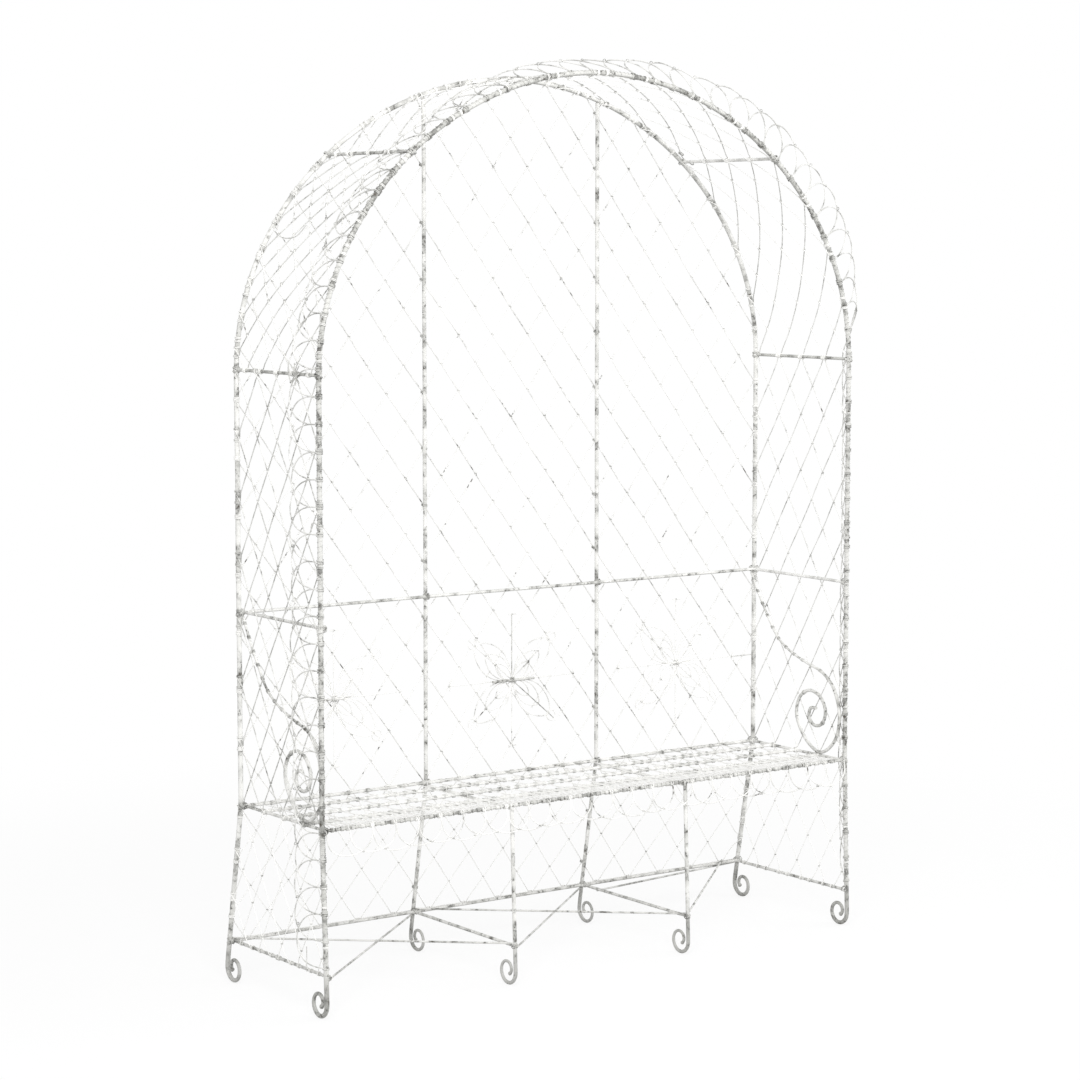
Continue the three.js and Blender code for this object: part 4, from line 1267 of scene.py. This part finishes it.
class ARBOUR_OT_rosettes(bpy.types.Operator):
    """Makes the three wire rosettes in front of the back lattice"""

    bl_idname = "arbour.rosettes"
    bl_label = "Rosettes"

    def execute(self, context):
        sizes = context.scene.arbour_sizes
        gauge = sizes.lattice
        spoke_depth = HALF_DEPTH + sizes.hoop / 2 - gauge / 2
        petal_depth = spoke_depth - gauge
        core_depth = petal_depth - (gauge + CORE_ROD) / 2
        for name, place in {"left": -1, "middle": 0, "right": 1}.items():
            centre = at(place * BAY, 0, ROSETTE_Z)

            def spot(distance, angle, depth):
                return centre + at(distance * math.cos(angle), depth, distance * math.sin(angle))

            def petal(long, wide, slant):
                points = []
                for step in range(PETAL_STEPS + 1):
                    angle = math.pi * step / PETAL_STEPS
                    rise = max(math.sin(angle), 0) ** PETAL_FULLNESS
                    swell = gauge / 2 + (wide / 2 - gauge / 2) * math.sin(PETAL_SWELL_TURN * rise)
                    distance = gauge + (long - gauge) * rise
                    bend = math.asin(min(max(math.cos(angle) * swell / distance, -1), 1))
                    points.append(spot(distance, slant - bend, petal_depth))
                return Wire(points, gauge)

            wires, petals, beads, cores = [], [], [], []

            def spoke(reach, angle, dark):
                """Adds a straight wire from the hub, and gives its tip."""
                tip = spot(reach, angle, spoke_depth)
                group = cores if dark and name == "middle" else wires
                group.append(Wire([spot(0, 0, spoke_depth), tip], gauge))
                return tip

            for quarter in range(4):
                level = quarter % 2 == 0
                reach = ROSETTE_REACH if level else ROSETTE_UPRIGHT
                tip = spoke(reach, quarter * math.pi / 2, quarter == DARK_SPOKE)
                tick = (UP if level else RIGHT) * (TICK_LENGTH / 2)
                wires.append(Wire([p - BACK * gauge for p in (tip - tick, tip + tick)], gauge))
                bead = tip - BACK * (gauge / 2)
                radii = (gauge * TIP_BEAD_SPREAD, gauge)
                beads.append(tie(bead, UP, BACK, radii, TIE_TURNS, sizes.tie))

                slant = ROSETTE_TILT * (1 if level else -1) + math.pi * (quarter // 2 + quarter % 2)
                axis = spot(1, slant, 0) - centre
                spoke(ROSETTE_SLANTING, slant, quarter == DARK_SLANTING_SPOKE)
                hook = spot(ROSETTE_SLANTING - CURL_RADIUS, slant, petal_depth)
                radii = (CURL_RADIUS, CURL_RADIUS)
                wires.append(Wire(coil(hook, BACK, axis, radii, CURL_TURNS, CURL_PITCH, CURL_STEPS), gauge))
                for long, wide in PETALS:
                    petals.append(petal(long, wide, slant))
                    bead = spot(long, slant, (petal_depth + spoke_depth) / 2)
                    radii = (gauge * PETAL_BEAD_SPREAD, gauge)
                    beads.append(tie(bead, axis, BACK, radii, TIE_TURNS, sizes.tie))
            half = CORE_LENGTHS[name] / 2
            core = [spot(d, 0, core_depth) for d in (-half, half)]
            cores.append(Wire(resampled(core, CORE_STEP), CORE_ROD))
            hub = centre + BACK * core_depth
            beads.append(tie(hub, RIGHT, BACK, (HUB_RADIUS, HUB_RADIUS), HUB_TURNS, sizes.tie))
            beads += lashing(centre + BACK * petal_depth, UP, BACK, HUB_LASHING, sizes.binding)
            core_paint, wire_paint = ROSETTE_PAINTS[name]
            dressed("rosette_" + name, wires, wire_paint, replaces=["rosette_" + name])
            dressed("rosette_petals_" + name, petals, wire_paint)
            dressed("rosette_core_" + name, cores, core_paint, CORE_SIDES)
            dressed("rosette_beads_" + name, beads, core_paint)
        return {"FINISHED"}


# Where a full lashing would stand outside the seat, both rods count for this share of their gauge
SNUG_SHARE = 0.8
CROSS_SHARE = 0.95
END_SHARE = 0.7
SNUG_SHIFT = 0.002


class ARBOUR_OT_bindings(bpy.types.Operator):
    """Lashes the rails, bars and stretchers to what carries them"""

    bl_idname = "arbour.bindings"
    bl_label = "Bindings"

    def execute(self, context):
        sizes = context.scene.arbour_sizes
        gauge = sizes.binding
        wires, light = [], []

        def bind(spot, normal, first, second, along=UP):
            reach = (first + second) / 2 + gauge / 2
            wires.extend(lashing(spot, along, normal, (reach, reach), gauge))

        rail_inset = (sizes.hoop + sizes.rail) / 4
        for end, side in SIDES.items():
            for front in (-1, 1):
                for z in (SEAT_Z, ARM_Z):
                    spot = at(side * HALF_WIDTH - side * rail_inset, front * HALF_DEPTH, z)
                    bind(spot, RIGHT * side, sizes.hoop, sizes.rail)
                depth = leg_depth(front, front * HALF_DEPTH, STRETCHER_Z) - front * SNUG_SHIFT
                spot = at(side * (HALF_WIDTH - rail_inset), depth, STRETCHER_Z)
                bind(spot, RIGHT * side, sizes.hoop * SNUG_SHARE, sizes.rail * SNUG_SHARE)
                for name in ("spring_bar_", "haunch_bar_"):
                    bar = middle_of(name + end) - ORIGIN
                    spot = at(bar.x, front * HALF_DEPTH, bar.z)
                    bind(spot, BACK * front, sizes.hoop * SNUG_SHARE, sizes.hoop * SNUG_SHARE)
            for x, post_rod in ((side * HALF_WIDTH, sizes.hoop), (side * BAY / 2, sizes.post)):
                for z in (SEAT_Z, ARM_Z, STRETCHER_Z):
                    depth = leg_depth(1, HALF_DEPTH, z) if z < SEAT_Z else HALF_DEPTH
                    bind(at(x, depth - rail_inset, z), BACK, post_rod, sizes.rail)
            x = side * BAY / 2
            spot = at(x, leg_depth(-1, -HALF_DEPTH, STRETCHER_Z), STRETCHER_Z) + BACK * SNUG_SHIFT
            bind(spot, BACK, sizes.rail * CROSS_SHARE, sizes.rail * CROSS_SHARE)
            for depth in SEAT_LINES:
                spread = sizes.rail + sizes.tie / 2
                spot = at(x, depth, SEAT_Z - sizes.rail / 2)
                light.extend(lashing(spot, BACK, UP, (spread, spread), sizes.tie))
                spot = at(side * END_RAIL_X, depth, SEAT_Z)
                bind(spot, UP, sizes.rail * END_SHARE, sizes.rail * END_SHARE, BACK)
        dressed("rod_bindings", wires, "binding_paint")
        dressed("bearer_bindings", light, "pale_wire_paint")
        return {"FINISHED"}


# Old mends. Heights on the hoops' legs are from the floor, places along the arch are shares of its length and
# depths are from the middle. The places of a hook or a star are to the back and up, and those of the curl
# and the rings are along the arch and to the back.
HOOK_HEIGHT = 1.165
HOOK_TURNS = 3
HOOK = [(0, 0.006), (0.012, 0.009), (0.023, 0.007), (0.027, -0.003), (0.026, -0.013)]
# Coils on the left front leg and the right back leg: side, leg, height, turns and pitch
LEG_COILS = [(-1, -1, 0.376, 14, 0.0044), (1, 1, 0.235, 6, 0.0042)]
CURL = [(0.145, 0.158), (0.139, 0.12), (0.137, 0.08), (0.14, 0.044), (0.152, 0.026)]
CURL_SMOOTHING = 6
RINGS = [(0.755, 0.166), (0.739, 0.172)]
RING_RADIUS = 0.007
RING_TURNS = 1.2
RING_PITCH = 0.001
RING_STEPS = 14
KNOT_SHARE = 0.179
STAR = [(0.018, 0.02), (0.018, -0.02), (0.003, 0.026)]
STAR_DEPTH = -0.094
STAR_TURNS = 5
STUB_DEPTH = -0.12
STUB_HEIGHT = 0.06
BLOB_DEPTH = 0.033
BLOB_TURNS = 4


def on_arch(share, depth, lift=0):
    point, run = ARCH.at(share * ARCH.total)
    return point + outward_of(run) * lift + BACK * depth


class ARBOUR_OT_mends(bpy.types.Operator):
    """Adds the odd bindings, hooks and loose ends that old mends have left"""

    bl_idname = "arbour.mends"
    bl_label = "Old mends"

    def execute(self, context):
        sizes = context.scene.arbour_sizes
        gauge = sizes.lattice
        rod = sizes.hoop / 2

        def level_line(x, z):
            return Line([at(x, y, z) for y in (-HALF_DEPTH, HALF_DEPTH)])

        post = Line([at(-HALF_WIDTH, -HALF_DEPTH, z) for z in (0, SPRING_Z)])
        wires = wrapped(post, [HOOK_HEIGHT], rod, HOOK_TURNS, gauge)
        hook = post.at(HOOK_HEIGHT)[0] - RIGHT * (rod + gauge / 2)
        wires.append(Wire([hook + BACK * back + UP * up for back, up in HOOK], gauge))
        reach = rod + sizes.binding / 2
        for side, front, z, turns, pitch in LEG_COILS:
            spot = at(side * HALF_WIDTH, leg_depth(front, front * HALF_DEPTH, z), z)
            turned = coil(spot, -leg_direction(front), RIGHT, (reach, reach), turns, pitch)
            wires.append(Wire(turned, sizes.binding))
        curl = [on_arch(share, depth, gauge * 2) for share, depth in CURL]
        wires.append(Wire(through(curl, CURL_SMOOTHING), gauge))
        for share, depth in RINGS:
            _, run = ARCH.at(share * ARCH.total)
            spot, radii = on_arch(share, depth, gauge * 2), (RING_RADIUS, RING_RADIUS)
            ring = coil(spot, outward_of(run), BACK, radii, RING_TURNS, RING_PITCH, RING_STEPS)
            wires.append(Wire(ring, gauge))
        knot, run = ARCH.at(KNOT_SHARE * ARCH.total)
        knot_reach = rod + gauge / 2
        wires += lashing(knot - BACK * HALF_DEPTH, run, outward_of(run), (knot_reach, knot_reach), gauge)
        star = at(-HALF_WIDTH - sizes.rail / 2 - gauge / 2, STAR_DEPTH, SPRING_Z)
        for back, up in STAR:
            arm = BACK * back + UP * up
            wires.append(Wire([star - arm, star + arm], gauge))
        bar, stretcher = level_line(-HALF_WIDTH, SPRING_Z), level_line(-END_RAIL_X, STRETCHER_Z)
        wires += wrapped(bar, [STAR_DEPTH + HALF_DEPTH], sizes.rail / 2, STAR_TURNS, gauge)
        wires += wrapped(stretcher, [BLOB_DEPTH + HALF_DEPTH], sizes.rail / 2, BLOB_TURNS, gauge)
        stub = at(-HALF_WIDTH - gauge, STUB_DEPTH, STRETCHER_Z)
        wires.append(Wire([stub, stub + UP * STUB_HEIGHT], gauge))
        stay = [at(x, HALF_DEPTH, ROSETTE_Z) for x in (BAY + ROSETTE_REACH, HALF_WIDTH - rod)]
        wires.append(Wire(stay, gauge))
        dressed("old_mends", wires, "dark_wire_paint")
        return {"FINISHED"}


# Lamps: where each stands, its share of the key lamp's power, and its size. They aim at one place.
LAMPS = {"key_lamp": ((-3.2, -4.6, 5.2), 1, 3.4), "fill_lamp": ((4.6, -2.8, 3.2), 0.35, 3.0)}
LAMP_AIM = at(0, 0, 1.1)
FLOOR_SIZE = 60
# How much of its own light the floor shows near the seat, and where it turns to plain white
FLOOR_NEAR = 0.84
FLOOR_WHITENS = (1.2, 3.2)
WHITE = (1, 1, 1, 1)
PAPER = (0.9, 0.9, 0.9, 1)
SENSOR_WIDTH = 36
FAR_CLIP = 200


class ARBOUR_OT_stage(bpy.types.Operator):
    """Sets the floor, the light and the camera"""

    bl_idname = "arbour.stage"
    bl_label = "Stage"

    def execute(self, context):
        scene = context.scene
        looks = scene.arbour_stage
        self.floor()
        self.world(scene, looks.sky)
        for name, (place, share, size) in LAMPS.items():
            self.lamp(name, place, looks.key * share, size)
        camera = bpy.data.cameras.new("camera")
        camera.sensor_width = SENSOR_WIDTH
        camera.lens = looks.lens
        camera.clip_end = FAR_CLIP
        holder = bpy.data.objects.new("camera", camera)
        holder.location = ORIGIN + Vector(looks.camera)
        holder.rotation_euler = (math.pi / 2 - looks.tip, 0, looks.turn)
        scene.collection.objects.link(holder)
        scene.camera = holder
        scene.view_settings.view_transform = "Standard"
        return {"FINISHED"}

    def floor(self):
        tree = new_material("floor")
        place = tree.node("TexCoord", output="Object")
        reach = tree.node("VectorMath", {"operation": "LENGTH"}, {0: place}, output=1)
        far = FLOOR_NEAR + (1 - FLOOR_NEAR) * tree.mask(reach, *FLOOR_WHITENS)
        paper = tree.node("BsdfDiffuse", {}, {"Color": PAPER})
        glow = tree.node("Emission", {}, {"Color": WHITE, "Strength": 1})
        surface = tree.node("MixShader", {}, {0: self.seen_directly(tree) * far, 1: paper, 2: glow})
        tree.node("OutputMaterial", {}, {"Surface": surface})
        shape = bmesh.new()
        bmesh.ops.create_grid(shape, x_segments=1, y_segments=1, size=FLOOR_SIZE)
        mesh = bpy.data.meshes.new("floor")
        shape.to_mesh(mesh)
        shape.free()
        mesh.materials.append(bpy.data.materials["floor"])
        floor = bpy.data.objects.new("floor", mesh)
        bpy.context.scene.collection.objects.link(floor)

    def world(self, scene, sky):
        scene.world = bpy.data.worlds.new("studio")
        scene.world.use_nodes = True
        tree = Tree(scene.world.node_tree)
        light = tree.node("Background", {}, {"Color": WHITE, "Strength": sky})
        backdrop = tree.node("Background", {}, {"Color": WHITE, "Strength": 1})
        surface = tree.node("MixShader", {}, {0: self.seen_directly(tree), 1: light, 2: backdrop})
        tree.node("OutputWorld", {}, {"Surface": surface})

    def seen_directly(self, tree):
        """1 for what the camera, gloss and glass see, and 0 for the light that falls on the object."""
        seen = tree.node("LightPath", output="Is Camera Ray")
        for kind in ("Is Glossy Ray", "Is Transmission Ray"):
            seen = seen.maths("MAXIMUM", seen, tree.node("LightPath", output=kind))
        return seen

    def lamp(self, name, place, power, size):
        lamp = bpy.data.lights.new(name, "AREA")
        lamp.energy = power
        lamp.size = size
        holder = bpy.data.objects.new(name, lamp)
        holder.location = place
        holder.rotation_euler = (LAMP_AIM - holder.location).to_track_quat("-Z", "Y").to_euler()
        bpy.context.scene.collection.objects.link(holder)


OPERATORS = [
    ARBOUR_OT_finishes,
    ARBOUR_OT_hoops,
    ARBOUR_OT_posts,
    ARBOUR_OT_rails,
    ARBOUR_OT_arms,
    ARBOUR_OT_back_lattice,
    ARBOUR_OT_end_lattices,
    ARBOUR_OT_roof_lattice,
    ARBOUR_OT_edging,
    ARBOUR_OT_apron,
    ARBOUR_OT_lacing,
    ARBOUR_OT_rosettes,
    ARBOUR_OT_bindings,
    ARBOUR_OT_mends,
    ARBOUR_OT_stage,
]


class ARBOUR_PT_panel(bpy.types.Panel):
    """Lists the steps that dress the seat"""

    bl_idname = "ARBOUR_PT_panel"
    bl_label = "Arbour seat"
    bl_space_type = "VIEW_3D"
    bl_region_type = "UI"
    bl_category = "Arbour seat"

    def draw(self, context):
        for operator in OPERATORS:
            self.layout.operator(operator.bl_idname)
        for group in (context.scene.arbour_sizes, context.scene.arbour_colours, context.scene.arbour_stage):
            box = self.layout.box()
            for name in group.bl_rna.properties.keys():
                if name not in ("rna_type", "name"):
                    box.prop(group, name)


GROUPS = {"arbour_sizes": SeatSizes, "arbour_colours": SeatColours, "arbour_stage": StageLooks}


def register():
    for name, group in GROUPS.items():
        bpy.utils.register_class(group)
        setattr(bpy.types.Scene, name, PointerProperty(type=group))
    for operator in OPERATORS:
        bpy.utils.register_class(operator)
    bpy.utils.register_class(ARBOUR_PT_panel)


def unregister():
    bpy.utils.unregister_class(ARBOUR_PT_panel)
    for operator in reversed(OPERATORS):
        bpy.utils.unregister_class(operator)
    for name, group in GROUPS.items():
        delattr(bpy.types.Scene, name)
        bpy.utils.unregister_class(group)


def main():
    register()
    for operator in OPERATORS:
        group, name = operator.bl_idname.split(".")
        getattr(getattr(bpy.ops, group), name)()


if __name__ == "__main__":
    main()
